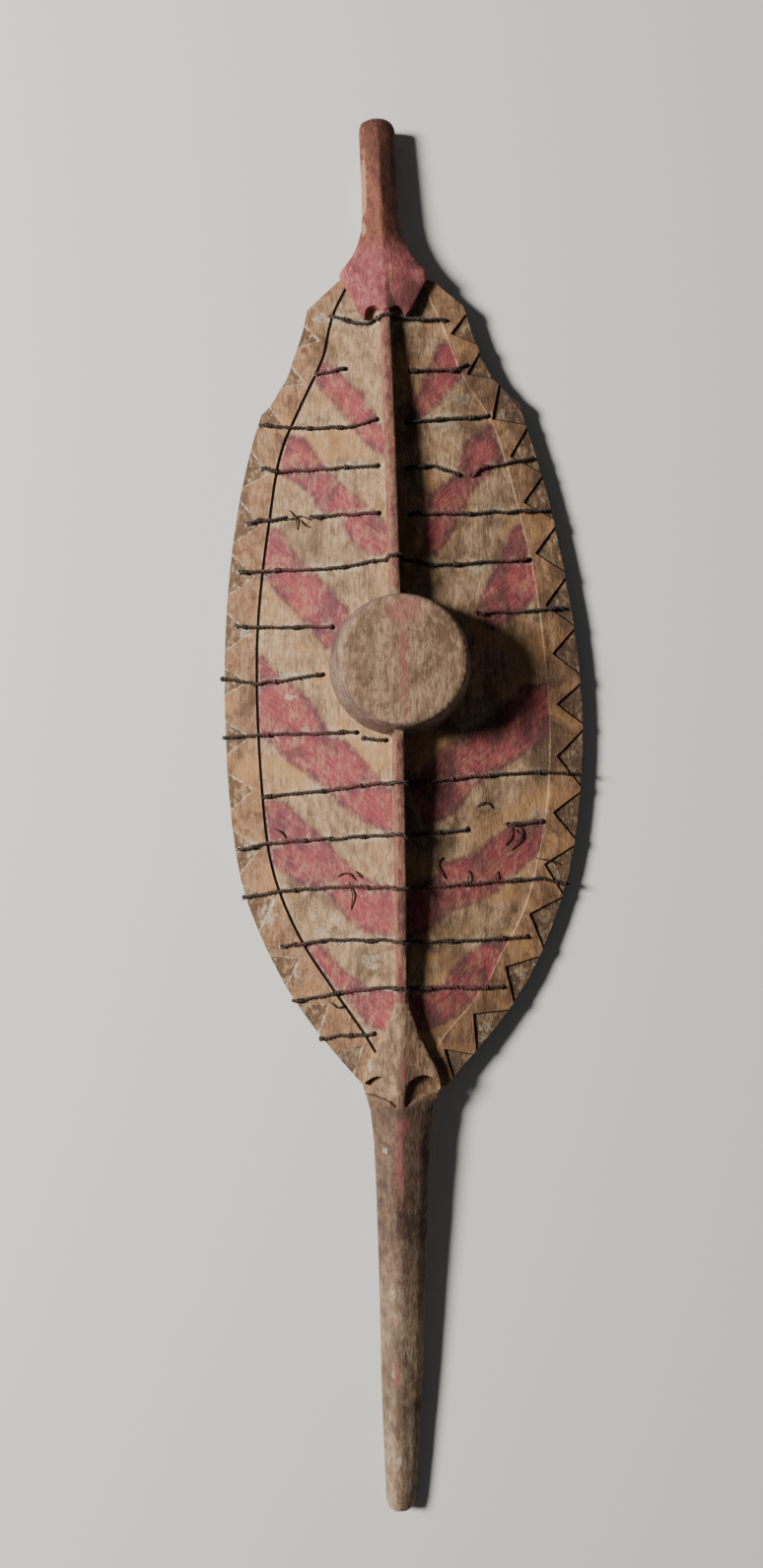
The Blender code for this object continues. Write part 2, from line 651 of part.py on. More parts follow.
def pockets(collection):
    """Two crescent pockets under the bottom flare, with the crest left between them as a rib."""
    _, lines = handle_lines()
    root_y = board_y(1.0)
    width = POCKET_WIDTH
    outlines = []
    for side in (-1, 1):
        rib = CREST_WIDTH * (0.75 if side < 0 else 0.35)
        middle = centre_x(root_y) + side * (rib + width / 2)
        arch = [
            (middle + side * width / 2 * math.cos(turn), root_y - 0.004 + width / 2 * math.sin(turn))
            for turn in (math.pi * k / 8 for k in range(9))
        ]
        lip = [
            (middle - side * width / 2, root_y - 0.019),
            (middle - side * width / 4, root_y - 0.011),
            (middle + side * width / 8, root_y - 0.006),
        ]
        outlines.append(arch + lip)

    def floor(x, y):
        distance = LENGTH / 2 + y
        crest, top = (straight_value(line, min(distance, HANDLE_LENGTH * 0.96)) for line in lines[:2])
        share = abs(x - centre_x(y)) / (BOTTOM_FLARE_WIDTH / 2)
        return crest + (top - crest) * share - POCKET_DEPTH

    return prisms_object("cut_pockets", outlines, floor, 0.07, collection)


def edge_x(side, y):
    return centre_x(y) + side * edge_offset(side, board_share(y))


def end_at_hole(point, away):
    """The last points of a cord that goes down through the board at point."""
    x, y = point
    top = face_z(x, y)
    return [
        Vector((x - away * 0.0012, y, top + CORD_CLEAR)),
        Vector((x, y, top - 0.001)),
        Vector((x, y, back_z(x, y) - CORD_TAIL)),
    ]


def round_corner(corner, out, up):
    """Three points that take a cord round a square corner, from beside it to on top of it."""
    clear = CORD_CLEAR
    return [
        corner + out * clear - up * 0.0008,
        corner + out * clear * 0.82 + up * clear * 0.82,
        corner - out * 0.0008 + up * clear,
    ]


def end_at_edge(y, side):
    """The last points of a cord that goes round the board's edge to its back, from the face outwards."""
    x = edge_x(side, y)
    out = Vector((side, 0.0, 0.0))
    up = Vector((0.0, 0.0, 1.0))
    over = round_corner(Vector((x, y, border_z(x, y))), out, up)
    under = round_corner(Vector((x, y, back_z(x, y))), out, -up)
    inner = x - side * WRAP_LENGTH
    tail = Vector((inner, y, back_z(inner, y) - CORD_CLEAR))
    return [*reversed(over), *under, tail]


def over_keel(y_left, y_right):
    """The points of a cord that climbs the keel, crosses its crest and comes down again."""
    points = []
    for side, y in ((-1, y_left), (1, y_right)):
        centre = centre_x(y)
        out = Vector((side, 0.0, 0.0))
        up = Vector((0.0, 0.0, 1.0))
        crest = Vector((centre + side * KEEL_CREST_WIDTH / 2, y, keel_crest_z(y)))
        foot = Vector((centre + side * (KEEL_FOOT_WIDTH / 2 + CORD_CLEAR * 1.3), y, 0.0))
        foot.z = face_z(foot.x, y) + CORD_CLEAR * 1.3
        climb = [foot, *round_corner(crest, out, up)]
        points += climb if side < 0 else reversed(climb)
    return points


def along_face(points):
    """The points of a cord that lies on the face and bridges the step at the border."""
    route = []
    for (x0, y0), (x1, y1) in zip(points, points[1:]):
        count = max(1, round(math.hypot(x1 - x0, y1 - y0) / CORD_SPACING))
        for k in range(count + (points[-1] == (x1, y1))):
            x = x0 + (x1 - x0) * k / count
            y = y0 + (y1 - y0) * k / count
            near = [x + CORD_SPACING * step for step in (-1.0, -0.5, 0.0, 0.5, 1.0)]
            lift = max(face_z(place, y) - border_z(place, y) for place in near)
            route.append(Vector((x, y, border_z(x, y) + lift + CORD_CLEAR)))
    return route


def lashing_route(left, right, left_end, right_end):
    route = along_face(left)
    if right:
        route += over_keel(left[-1][1], right[0][1]) + along_face(right)
    last = (right or left)[-1]
    first = left[0]
    if left_end == "hole":
        route = [*reversed(end_at_hole(first, -1)), *route[1:]]
    else:
        route = [*reversed(end_at_edge(first[1], -1)), *route[1:]]
    ending = end_at_hole(last, 1) if right_end == "hole" else end_at_edge(last[1], 1)
    return route[:-1] + ending


def lashing(name, route, collection, material):
    """One cord, as a tube along its route, made a mesh with its caps welded."""
    curve = bpy.data.curves.new(name, "CURVE")
    curve.dimensions = "3D"
    curve.bevel_depth = CORD_DIAMETER / 2
    curve.bevel_resolution = 1
    curve.use_fill_caps = True
    spline = curve.splines.new("POLY")
    spline.points.add(len(route) - 1)
    for point, place in zip(spline.points, route):
        point.co = (*place, 1.0)
    guide = bpy.data.objects.new(name + "_guide", curve)
    collection.objects.link(guide)
    bpy.context.view_layer.update()
    evaluated = guide.evaluated_get(bpy.context.evaluated_depsgraph_get())
    mesh = bpy.data.meshes.new_from_object(evaluated)
    bpy.data.objects.remove(guide)
    mesh.name = name
    form = bmesh.new()
    form.from_mesh(mesh)
    bmesh.ops.remove_doubles(form, verts=form.verts, dist=0.00001)
    bmesh.ops.recalc_face_normals(form, faces=form.faces)
    form.to_mesh(mesh)
    form.free()
    mesh.shade_smooth()
    return make_object(name, mesh, collection, material)


def stitch_holes(collection):
    """A hole through the board under each end of a lashing that goes through."""
    ends = []
    for _, left, right, left_end, right_end in LASHINGS:
        if left_end == "hole":
            ends.append(left[0])
        if right_end == "hole":
            ends.append((right or left)[-1])
    outlines = []
    for x, y in ends:
        turns = (math.tau * k / HOLE_SIDES for k in range(HOLE_SIDES))
        outlines.append([(x + HOLE_RADIUS * math.cos(a), y + HOLE_RADIUS * math.sin(a)) for a in turns])
    return prisms_object("cut_stitch_holes", outlines, lambda x, y: 0.002, 0.07, collection)


def resting_origin(objects):
    """The point on the floor under the middle of the box round all the objects."""
    bpy.context.view_layer.update()
    graph = bpy.context.evaluated_depsgraph_get()
    corners = [
        Vector(corner)
        for obj in objects
        for corner in obj.evaluated_get(graph).bound_box
    ]
    low = Vector(min(c[k] for c in corners) for k in range(3))
    high = Vector(max(c[k] for c in corners) for k in range(3))
    return Vector(((low.x + high.x) / 2, (low.y + high.y) / 2, low.z))


def main():
    for obj in list(bpy.data.objects):
        bpy.data.objects.remove(obj)
    scene = bpy.context.scene
    parts = bpy.data.collections.new("tribal_shield")
    cutters = bpy.data.collections.new("cutters")
    cutters.hide_render = True
    scene.collection.children.link(parts)
    scene.collection.children.link(cutters)
    wood = make_material("carved_wood", (0.33, 0.19, 0.11), 0.72)
    fibre = make_material("dark_fibre_cord", (0.045, 0.035, 0.03), 0.85)

    body = board(parts)
    body.data.materials.append(wood)
    prong_shape = prong(cutters)
    for notch in scallops(cutters):
        add_boolean(prong_shape, notch, "DIFFERENCE")
    for shape in (keel(cutters), boss(cutters), prong_shape, handle(cutters)):
        add_boolean(body, shape, "UNION")
    add_boolean(body, hollow(cutters), "DIFFERENCE")
    add_boolean(body, grip(cutters), "UNION")
    for cutter in (triangles(cutters), pockets(cutters), stitch_holes(cutters)):
        add_boolean(body, cutter, "DIFFERENCE")

    cords = [
        lashing(name, lashing_route(left, right, left_end, right_end), parts, fibre)
        for name, left, right, left_end, right_end in LASHINGS
    ]
    origin = resting_origin([body, *cords])
    stand = bpy.data.objects.new("stand", None)
    parts.objects.link(stand)
    for obj in (*parts.objects, *cutters.objects):
        if obj != stand:
            obj.parent = stand
    stand.location = -origin


main()
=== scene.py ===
"""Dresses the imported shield: worn carved wood with faded red bands, and twisted cord lashings."""

import math
import random

import bmesh
import bpy
import numpy as np
from mathutils import Matrix, Vector, noise


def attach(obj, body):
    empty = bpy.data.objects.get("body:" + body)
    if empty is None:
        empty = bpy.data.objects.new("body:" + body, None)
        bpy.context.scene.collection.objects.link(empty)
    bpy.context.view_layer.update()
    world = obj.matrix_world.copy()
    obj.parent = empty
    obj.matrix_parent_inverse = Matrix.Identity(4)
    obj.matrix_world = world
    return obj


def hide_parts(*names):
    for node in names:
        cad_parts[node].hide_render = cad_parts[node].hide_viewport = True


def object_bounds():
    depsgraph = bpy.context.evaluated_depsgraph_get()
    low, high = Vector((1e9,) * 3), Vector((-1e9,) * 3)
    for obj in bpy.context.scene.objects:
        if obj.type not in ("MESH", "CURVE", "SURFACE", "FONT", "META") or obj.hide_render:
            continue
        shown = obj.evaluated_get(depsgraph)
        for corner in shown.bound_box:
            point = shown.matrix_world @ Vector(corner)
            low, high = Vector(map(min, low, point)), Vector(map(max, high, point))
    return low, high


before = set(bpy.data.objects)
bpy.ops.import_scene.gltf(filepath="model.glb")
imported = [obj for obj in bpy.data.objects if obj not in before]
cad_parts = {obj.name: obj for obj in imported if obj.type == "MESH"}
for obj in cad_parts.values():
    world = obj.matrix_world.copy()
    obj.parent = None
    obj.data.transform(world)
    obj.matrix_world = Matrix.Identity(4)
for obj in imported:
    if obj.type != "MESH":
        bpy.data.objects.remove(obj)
cad_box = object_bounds()

# The shield's own measures, in metres. The layout below is about the line between its two tips,
# which lies SHIFT to the left of the model's origin.
SHIFT = 0.01772
LENGTH = 1.459
BOARD_TOP = 0.5575
BOARD_LENGTH = 0.847
LEFT_WIDTH = 0.179
RIGHT_WIDTH = 0.199
RIDGE_HEIGHT = 0.054
BOARD_BOW = 0.018
FACE_SLOPE = 0.176
EDGE_THICKNESS = 0.007
CENTRE_THICKNESS = 0.012
STEP_DEPTH = 0.0018
SIDE_BEND = 0.009
KEEL_HEIGHT = 0.027
KEEL_SPAN = 0.456
KEEL_CREST_WIDTH = 0.0086
KEEL_FOOT_WIDTH = 0.013
BOSS_Y = 0.1475
BOSS_OFFSET = 0.0045
BOSS_RADIUS = 0.0745
CORD_DIAMETER = 0.0032
CORD_CLEAR = CORD_DIAMETER / 2 + 0.0004
CORD_SPACING = 0.014
CORD_TAIL = 0.004
STRAND_SHARE = 0.31
WRAP_LENGTH = 0.012
KEEL_LINE = SHIFT - SIDE_BEND
BAND_SLANT = math.radians(41)

# The parts of the carving: where they start along the shield, how far they reach, and how far
# a point stands above the face, or how its normal tilts, when it belongs to one
KEEL_TOP = 0.5175
KEEL_BOTTOM = -0.2
KEEL_REACH = 0.0075
PRONG_START = 0.5105
HANDLE_START = -0.187
PROUD = 0.0012
WELL_PROUD = 0.0025
WALL_TILT = 0.72
BACK_TILT = -0.25

# The longest mesh edges of the carving by place, and where its plainer ends begin
BORDER_EDGE = 0.0040
RAISED_EDGE = 0.0050
FIELD_EDGE = 0.0080
BACK_EDGE = 0.0180
END_EDGE = 0.0080
UPPER_END = 0.56
LOWER_END = -0.30

# Wear on the carving: its smoothing, the depth of two noises, and the height of the resting tips
PROUD_SMOOTHING = 0.32
FLAT_SMOOTHING = 0.10
SMOOTHING_ROUNDS = 2
BROAD_WEAR = 0.0004
FINE_WEAR = 0.0003
TIP_HEIGHT = 0.0008
CREASE = math.radians(38)

# The cords' strands, wraps and hairs, counted in steps along the cord, and the loose fibres
CORD_STEP = 0.0011
CORD_SWAY = 0.0018
STRAND_PITCH = 0.0095
STRAND_REACH = 0.92
STRAND_SWELL = 0.5
WRAP_RADIUS = 0.0009
WRAP_REACH = 0.60
WRAP_TURNS = (1.5, 2.0, 3.0)
FIRST_WRAP = (8, 26)
WRAP_GAP = (24, 70)
STEPS_PER_HAIR = 8
HAIR_LENGTH = (0.002, 0.007)
HAIR_ROOT = 0.0012
COARSE_HAIR = 0.00042
FINE_HAIR = 0.00018
FIBRE_RADIUS = 0.0008
FIBRE_GAP = 0.0004
FIBRE_ARCH = 0.0022

# The lamp, the room's own light and the floor
LAMP_TOWARDS = (-0.786, 0.155, 0.602)
LAMP_DISTANCE = 4.5
LAMP_SIZE = 1.1
LAMP_POWER = 390
ROOM_LIGHT = 0.05
FLOOR_REACH = 4

# The camera, with its focal length in the photograph's pixels
CAMERA_PLACE = (-0.0698, -0.0074, 1.3651)
CAMERA_LOOK = (0.04635, 0.02469, -0.99862)
CAMERA_UP = (0.01686, 0.99953, 0.02549)
FOCAL_PIXELS = 1300
PHOTO_HEIGHT = 1590
SENSOR_WIDTH = 36.0

LEFT_EDGE = (
    ((0.0, 0.257), (0.036, 0.454)),
    ((0.036, 0.454), (0.074, 0.505), (0.124, 0.595), (0.155, 0.688), (0.166, 0.745)),
    ((0.166, 0.745), (0.215, 0.819), (0.287, 0.900), (0.367, 0.957), (0.459, 0.993), (0.547, 1.0),
     (0.655, 0.979), (0.747, 0.918), (0.811, 0.814), (0.877, 0.662), (0.939, 0.459), (1.0, 0.21)),
)
RIGHT_EDGE = (
    ((0.0, 0.264), (0.031, 0.428)),
    ((0.031, 0.428), (0.065, 0.466), (0.113, 0.546), (0.139, 0.628), (0.153, 0.708)),
    ((0.153, 0.708), (0.207, 0.774), (0.274, 0.849), (0.380, 0.933), (0.460, 0.979), (0.558, 1.0),
     (0.664, 0.968), (0.743, 0.909), (0.804, 0.820), (0.864, 0.705), (0.924, 0.528), (1.0, 0.235)),
)
LEFT_STEP = (
    ((0.0, 0.20), (0.047, 0.316), (0.097, 0.376), (0.157, 0.515), (0.216, 0.641), (0.301, 0.719),
     (0.386, 0.779), (0.460, 0.809), (0.560, 0.811), (0.693, 0.772), (0.753, 0.711), (0.820, 0.575),
     (0.878, 0.400), (0.936, 0.213), (1.0, 0.04)),
)
RIGHT_STEP = (
    ((0.0, 0.19), (0.050, 0.294), (0.124, 0.410), (0.180, 0.558), (0.265, 0.658), (0.352, 0.739),
     (0.424, 0.782), (0.491, 0.806), (0.553, 0.819), (0.602, 0.814), (0.675, 0.784), (0.784, 0.668),
     (0.838, 0.540), (0.885, 0.430), (0.932, 0.246), (1.0, 0.04)),
)

# Each lashing: its points on the face, those right of the keel apart where it crosses the keel,
# and how it ends on the left and on the right
LASHINGS = (
    ("lashing_01", ((-0.052, 0.518), (-0.030, 0.5105), (-0.013, 0.5070), (-0.006, 0.5125)),
     ((0.029, 0.5130), (0.069, 0.514)), "hole", "hole"),
    ("lashing_02_left", ((-0.068, 0.457), (-0.038, 0.461)), (), "hole", "hole"),
    ("lashing_02_right", ((0.030, 0.457), (0.077, 0.460), (0.091, 0.467)), (), "hole", "hole"),
    ("lashing_03_left", ((-0.128, 0.405), (-0.097, 0.400), (-0.033, 0.398), (-0.006, 0.405)),
     (), "hole", "hole"),
    ("lashing_03_right", ((0.024, 0.402), (0.113, 0.413)), (), "hole", "hole"),
    ("lashing_04_left", ((-0.127, 0.359), (-0.112, 0.354), (-0.006, 0.356)), (), "hole", "hole"),
    ("lashing_04_middle", ((0.024, 0.353), (0.052, 0.356), (0.080, 0.348)), (), "hole", "hole"),
    ("lashing_04_right", ((0.094, 0.348), (0.102, 0.356), (0.161, 0.369)), (), "hole", "hole"),
    ("lashing_05_left", ((-0.143, 0.301), (-0.103, 0.305)), (), "hole", "hole"),
    ("lashing_05_middle", ((-0.076, 0.305), (-0.006, 0.306)), (), "hole", "hole"),
    ("lashing_05_right", ((0.026, 0.304), (0.176, 0.313)), (), "hole", "hole"),
    ("lashing_06", ((-0.152, 0.250), (-0.047, 0.250), (-0.006, 0.256)),
     ((0.026, 0.256), (0.053, 0.251), (0.104, 0.256), (0.154, 0.260)), "hole", "hole"),
    ("lashing_07_left", ((-0.156, 0.193), (-0.131, 0.191), (-0.056, 0.189)), (), "hole", "hole"),
    ("lashing_07_right", ((0.098, 0.202), (0.189, 0.209)), (), "hole", "hole"),
    ("lashing_08_left", ((-0.168, 0.138), (-0.134, 0.132), (-0.067, 0.140)), (), "edge", "hole"),
    ("lashing_09_left", ((-0.168, 0.077), (-0.135, 0.079), (-0.033, 0.079)), (), "edge", "hole"),
    ("lashing_09_middle", ((-0.026, 0.0725), (-0.003, 0.0700)), (), "hole", "hole"),
    ("lashing_10", ((-0.131, 0.014), (-0.077, 0.019), (-0.006, 0.026)),
     ((0.026, 0.026), (0.098, 0.032), (0.167, 0.036), (0.202, 0.033)), "hole", "edge"),
    ("lashing_11", ((-0.158, -0.040), (-0.127, -0.034), (-0.006, -0.027)),
     ((0.026, -0.028), (0.081, -0.023)), "hole", "hole"),
    ("lashing_11_right", ((0.125, -0.019), (0.162, -0.016)), (), "hole", "hole"),
    ("lashing_12", ((-0.152, -0.090), (-0.117, -0.084), (-0.043, -0.080), (-0.006, -0.082)),
     ((0.026, -0.082), (0.106, -0.079), (0.160, -0.076), (0.182, -0.083)), "edge", "edge"),
    ("lashing_13", ((-0.115, -0.142), (-0.069, -0.135), (-0.006, -0.136)),
     ((0.026, -0.138), (0.084, -0.139), (0.144, -0.137)), "hole", "hole"),
    ("lashing_14", ((-0.099, -0.199), (-0.060, -0.190), (-0.008, -0.1845)),
     ((0.026, -0.1865), (0.117, -0.189)), "edge", "hole"),
    ("lashing_15_left", ((-0.071, -0.238), (-0.055, -0.234), (-0.020, -0.233)), (), "edge", "hole"),
)

# Where each sunk triangle's base starts and ends, as shares of the board's length
LEFT_TRIANGLES = (
    (0.054, 0.085), (0.106, 0.133), (0.156, 0.182), (0.210, 0.259), (0.272, 0.328),
    (0.339, 0.393), (0.412, 0.462), (0.481, 0.516), (0.546, 0.590), (0.610, 0.658),
    (0.681, 0.737), (0.749, 0.808), (0.835, 0.875), (0.896, 0.934), (0.955, 0.984),
)
RIGHT_TRIANGLES = (
    (0.040, 0.079), (0.089, 0.123), (0.131, 0.180), (0.183, 0.241), (0.244, 0.299),
    (0.308, 0.366), (0.372, 0.434), (0.436, 0.495), (0.505, 0.557), (0.563, 0.635),
    (0.641, 0.701), (0.708, 0.770), (0.772, 0.836), (0.845, 0.902), (0.910, 0.959),
    (0.963, 0.991),
)
TRIANGLE_REACH = 0.028
TRIANGLE_BORDER_SHARE = 0.8
TRIANGLE_DEPTH = 0.0026

# Patches on the wood, in millimetres: middle x, middle y, half width, half length
LIME_PATCHES = (
    (95, 250, 14, 8), (-22, -158, 9, 11), (-59, -112, 7, 6), (-72, -127, 9, 6), (-146, -37, 8, 11),
    (-128, -108, 9, 17), (-98, -170, 4, 12), (151, -10, 6, 4), (-147, 186, 7, 8), (97, -234, 7, 14),
    (-62, 515, 9, 8), (-26, -264, 3, 6), (62, 405, 22, 9), (84, 428, 14, 9), (-100, 139, 14, 5),
    (30, -190, 16, 5), (-100, 118, 8, 4), (-11, -352, 3, 5), (-7, -501, 3, 5), (-3, -676, 5, 8),
)
GRIME_PATCHES = (
    (-44, -262, 20, 12), (60, -268, 22, 16), (128, -42, 12, 14), (-12, -378, 4, 26), (-13, -436, 4, 16),
    (15, -424, 6, 12), (-11, -615, 5, 12), (-9, -640, 6, 8), (-120, -215, 16, 12), (-148, 330, 10, 8),
    (10, 527, 5, 11), (-30, 523, 15, 3), (-96, 60, 18, 8), (120, 300, 14, 9), (-70, 470, 10, 8),
)
RUBBED_RED = (
    (13, 146, 6, 70), (14, 196, 24, 18), (4, -366, 6, 54), (8, -326, 10, 11), (-2, -585, 4, 20),
    (-5, -528, 3, 6), (8, -268, 3, 22),
)
OCHRE_PATCHES = ((-15, 657, 4, 44), (10, 555, 2, 26), (-16, 610, 4, 12))

# Loose ends of fibre that lie on the board, in millimetres
LOOSE_FIBRES = (
    ((91, 0), (95, 4), (101, 5), (108, -2)), ((55, -52), (48, -55), (46, -60), (51, -67), (57, -74)),
    ((-55, -70), (-51, -66), (-44, -66), (-36, -74)), ((-37, -64), (-31, -71)),
    ((-44, -76), (-40, -88), (-42, -104)), ((153, -55), (165, -57), (177, -62)),
    ((-121, -19), (-114, -22), (-108, -29)), ((112, -68), (109, -73), (111, -79)),
    ((-110, 306), (-98, 303), (-88, 307), (-76, 301)), ((-99, 313), (-92, 303), (-91, 292)),
    ((-88, 303), (-84, 296), (-77, 294)), ((129, -22), (124, -32), (121, -41)),
    ((139, -23), (138, -33), (127, -46)), ((131, -24), (135, -30), (132, -38)),
    ((81, -66), (80, -72), (82, -79)), ((-64, -200), (-58, -206), (-50, -203)),
)

# The painted bands, as outlines in millimetres
BANDS = (
    ((-66, 479), (-47, 463), (-32, 445), (-19, 434), (-13, 418), (4, 388), (4, 363), (-9, 371),
     (-23, 383), (-44, 414), (-59, 432), (-70, 447), (-76, 462)),
    ((-106, 396), (-82, 391), (-66, 366), (-46, 341), (-31, 327), (-15, 311), (5, 294), (5, 264),
     (-12, 260), (-34, 273), (-46, 299), (-70, 311), (-74, 324), (-89, 339), (-118, 358)),
    ((-126, 298), (-108, 295), (-93, 265), (-73, 247), (-53, 222), (-38, 205), (-40, 172), (-66, 165),
     (-77, 185), (-91, 199), (-114, 226), (-129, 247), (-141, 278)),
    ((-140, 170), (-134, 166), (-114, 145), (-100, 132), (-80, 113), (-60, 77), (-43, 70), (-25, 51),
     (-11, 30), (6, 19), (6, -27), (-22, -18), (-45, -2), (-66, 21), (-87, 37), (-107, 51), (-119, 68),
     (-140, 80)),
    ((-140, 14), (-130, 12), (-108, 10), (-85, -14), (-67, -31), (-52, -48), (-35, -66), (-12, -78),
     (6, -80), (6, -135), (-33, -127), (-53, -106), (-68, -86), (-99, -75), (-121, -60), (-134, -30)),
    ((-110, -135), (-92, -137), (-74, -139), (-49, -168), (-24, -183), (4, -187), (4, -232), (-12, -230),
     (-22, -229), (-50, -195), (-65, -183), (-94, -144)),
    ((62, 494), (64, 490), (79, 493), (87, 478), (86, 454), (67, 431), (43, 407), (27, 404), (41, 448),
     (52, 470)),
    ((119, 408), (122, 383), (129, 367), (99, 338), (72, 291), (55, 262), (38, 262), (46, 327), (62, 338),
     (76, 349), (85, 384)),
    ((146, 299), (156, 268), (168, 242), (163, 226), (144, 205), (111, 183), (92, 204), (113, 251),
     (124, 267), (133, 293)),
    ((176, 134), (164, 130), (142, 127), (126, 111), (110, 92), (88, 80), (57, 63), (35, 40), (20, 20),
     (35, -20), (55, -12), (71, -2), (87, 19), (108, 34), (130, 47), (152, 59), (176, 77)),
    ((170, -13), (164, -14), (129, -18), (107, -31), (86, -48), (54, -57), (44, -72), (12, -80), (12, -136),
     (35, -128), (43, -123), (59, -109), (85, -101), (112, -90), (139, -65), (160, -46)),
    ((134, -136), (127, -137), (95, -141), (74, -155), (58, -170), (53, -182), (14, -189), (10, -234),
     (33, -231), (52, -226), (73, -212), (100, -198), (116, -178), (130, -158)),
)


def smooth_value(points, t):
    """The value at t of a smooth curve through (t, value) points."""
    last = len(points) - 1
    t = min(max(t, points[0][0]), points[-1][0])
    i = next(k for k in range(last) if t <= points[k + 1][0] or k == last - 1)
    (t0, v0), (t1, v1) = points[i], points[i + 1]
    gap = t1 - t0
    before = points[i - 1] if i > 0 else (t0 - gap, 2 * v0 - v1)
    after = points[i + 2] if i + 2 <= last else (t1 + gap, 2 * v1 - v0)
    m0 = (v1 - before[1]) / (t1 - before[0]) * gap
    m1 = (after[1] - v0) / (after[0] - t0) * gap
    u = (t - t0) / gap
    return (
        (2 * u**3 - 3 * u**2 + 1) * v0
        + (u**3 - 2 * u**2 + u) * m0
        + (3 * u**2 - 2 * u**3) * v1
        + (u**3 - u**2) * m1
    )


def share_at(runs, s):
    """The value at s of a line given as runs that meet in corners."""
    run = next((r for r in runs if s <= r[-1][0]), runs[-1])
    return smooth_value(run, s)


SHARES = np.linspace(0.0, 1.0, 1200)
EDGES = {
    -1: np.array([LEFT_WIDTH * share_at(LEFT_EDGE, s) for s in SHARES]),
    1: np.array([RIGHT_WIDTH * share_at(RIGHT_EDGE, s) for s in SHARES]),
}
STEPS = {
    -1: np.array([LEFT_WIDTH * share_at(LEFT_STEP, s) for s in SHARES]),
    1: np.array([RIGHT_WIDTH * share_at(RIGHT_STEP, s) for s in SHARES]),
}


def centre_x(y):
    return SIDE_BEND * (1 - (2 * y / LENGTH) ** 2)


def board_share(y):
    """How far down the board a place lies: 0 at its top and 1 at its bottom."""
    return (BOARD_TOP - y) / BOARD_LENGTH


def offset_at(table, x, y):
    """The table's offset on the side of the centreline that x lies on."""
    s = board_share(y)
    left = np.interp(s, SHARES, table[-1])
    right = np.interp(s, SHARES, table[1])
    return np.where(x < centre_x(y), left, right)


def ridge_z(y):
    """The height of the face at the centreline, as if there were no keel or step."""
    return RIDGE_HEIGHT - BOARD_BOW * (2 * board_share(y) - 1) ** 2


def border_z(x, y):
    return ridge_z(y) - FACE_SLOPE * np.abs(x - centre_x(y))


def face_z(x, y):
    inside = np.abs(x - centre_x(y)) < offset_at(STEPS, x, y)
    return border_z(x, y) - np.where(inside, STEP_DEPTH, 0.0)


def back_z(x, y):
    share = np.minimum(np.abs(x - centre_x(y)) / offset_at(EDGES, x, y), 1.0)
    return border_z(x, y) - CENTRE_THICKNESS - (EDGE_THICKNESS - CENTRE_THICKNESS) * share


def keel_crest_z(y):
    return ridge_z(y) - STEP_DEPTH + KEEL_HEIGHT * (1 - ((y - BOSS_Y) / KEEL_SPAN) ** 2)


def inside_distance(x, y, outline):
    """How far each point is inside a closed outline, in its units; negative outside."""
    best = np.full(x.shape, 1e9)
    inside = np.zeros(x.shape, bool)
    for (ax, ay), (bx, by) in zip(outline, outline[1:] + outline[:1]):
        dx, dy = bx - ax, by - ay
        t = np.clip(((x - ax) * dx + (y - ay) * dy) / (dx * dx + dy * dy + 1e-12), 0, 1)
        best = np.minimum(best, np.hypot(x - ax - t * dx, y - ay - t * dy))
        crosses = (ay > y) != (by > y)
        side = (bx - ax) * (y - ay) / (by - ay + 1e-12) + ax
        inside ^= crosses & (x < side)
    return np.where(inside, best, -best)


def band_distance(x, y):
    """How far inside the nearest painted band each point lies, in millimetres."""
    best = np.full(x.shape, -1e9)
    for outline in BANDS:
        best = np.maximum(best, inside_distance(x * 1000, y * 1000, outline))
    return best


def triangle_distance(x, y):
    """How far inside the nearest sunk triangle each point lies, in millimetres."""
    best = np.full(x.shape, -1e9)
    for side, spans in ((-1, LEFT_TRIANGLES), (1, RIGHT_TRIANGLES)):
        for start, end in spans:
            base = []
            for s in (start, end):
                row = BOARD_TOP - s * BOARD_LENGTH
                base.append(Vector((centre_x(row) + side * float(np.interp(s, SHARES, EDGES[side])), row)))
            along = (base[1] - base[0]).normalized()
            inward = Vector((-along.y, along.x))
            if inward.x * side > 0:
                inward.negate()
            middle = (start + end) / 2
            border = float(np.interp(middle, SHARES, EDGES[side]) - np.interp(middle, SHARES, STEPS[side]))
            reach = min(TRIANGLE_REACH, TRIANGLE_BORDER_SHARE * border)
            apex = (base[0] + base[1]) / 2 + inward * reach
            grow = (reach + TRIANGLE_DEPTH * 2) / reach
            corners = [apex, *(apex + (corner - apex) * grow for corner in base)]
            outline = tuple((corner.x * 1000, corner.y * 1000) for corner in corners)
            best = np.maximum(best, inside_distance(x * 1000, y * 1000, outline))
    return best


def cord_distance(x, y):
    """How far the nearest lashing is in plan, in millimetres."""
    best = np.full(x.shape, 1e9)
    for _, left, right, _, _ in LASHINGS:
        points = (*left, *right)
        for (ax, ay), (bx, by) in zip(points, points[1:]):
            dx, dy = bx - ax, by - ay
            t = np.clip(((x - ax) * dx + (y - ay) * dy) / (dx * dx + dy * dy), 0, 1)
            best = np.minimum(best, np.hypot(x - ax - t * dx, y - ay - t * dy))
    return best * 1000


def step_distance(x, y):
    """How far inside the sunk field each point lies, in millimetres, square to its outline."""
    inside = offset_at(STEPS, x, y) - np.abs(x - centre_x(y))
    slope = (offset_at(STEPS, x, y + 0.002) - offset_at(STEPS, x, y - 0.002)) / 0.004
    return inside / np.sqrt(1 + slope**2) * 1000


def linear(red, green, blue):
    """A colour given by its 0 to 255 display values, as the renderer's linear values."""
    out = []
    for value in (red, green, blue):
        c = value / 255
        out.append(c / 12.92 if c <= 0.04045 else ((c + 0.055) / 1.055) ** 2.4)
    return (*out, 1.0)


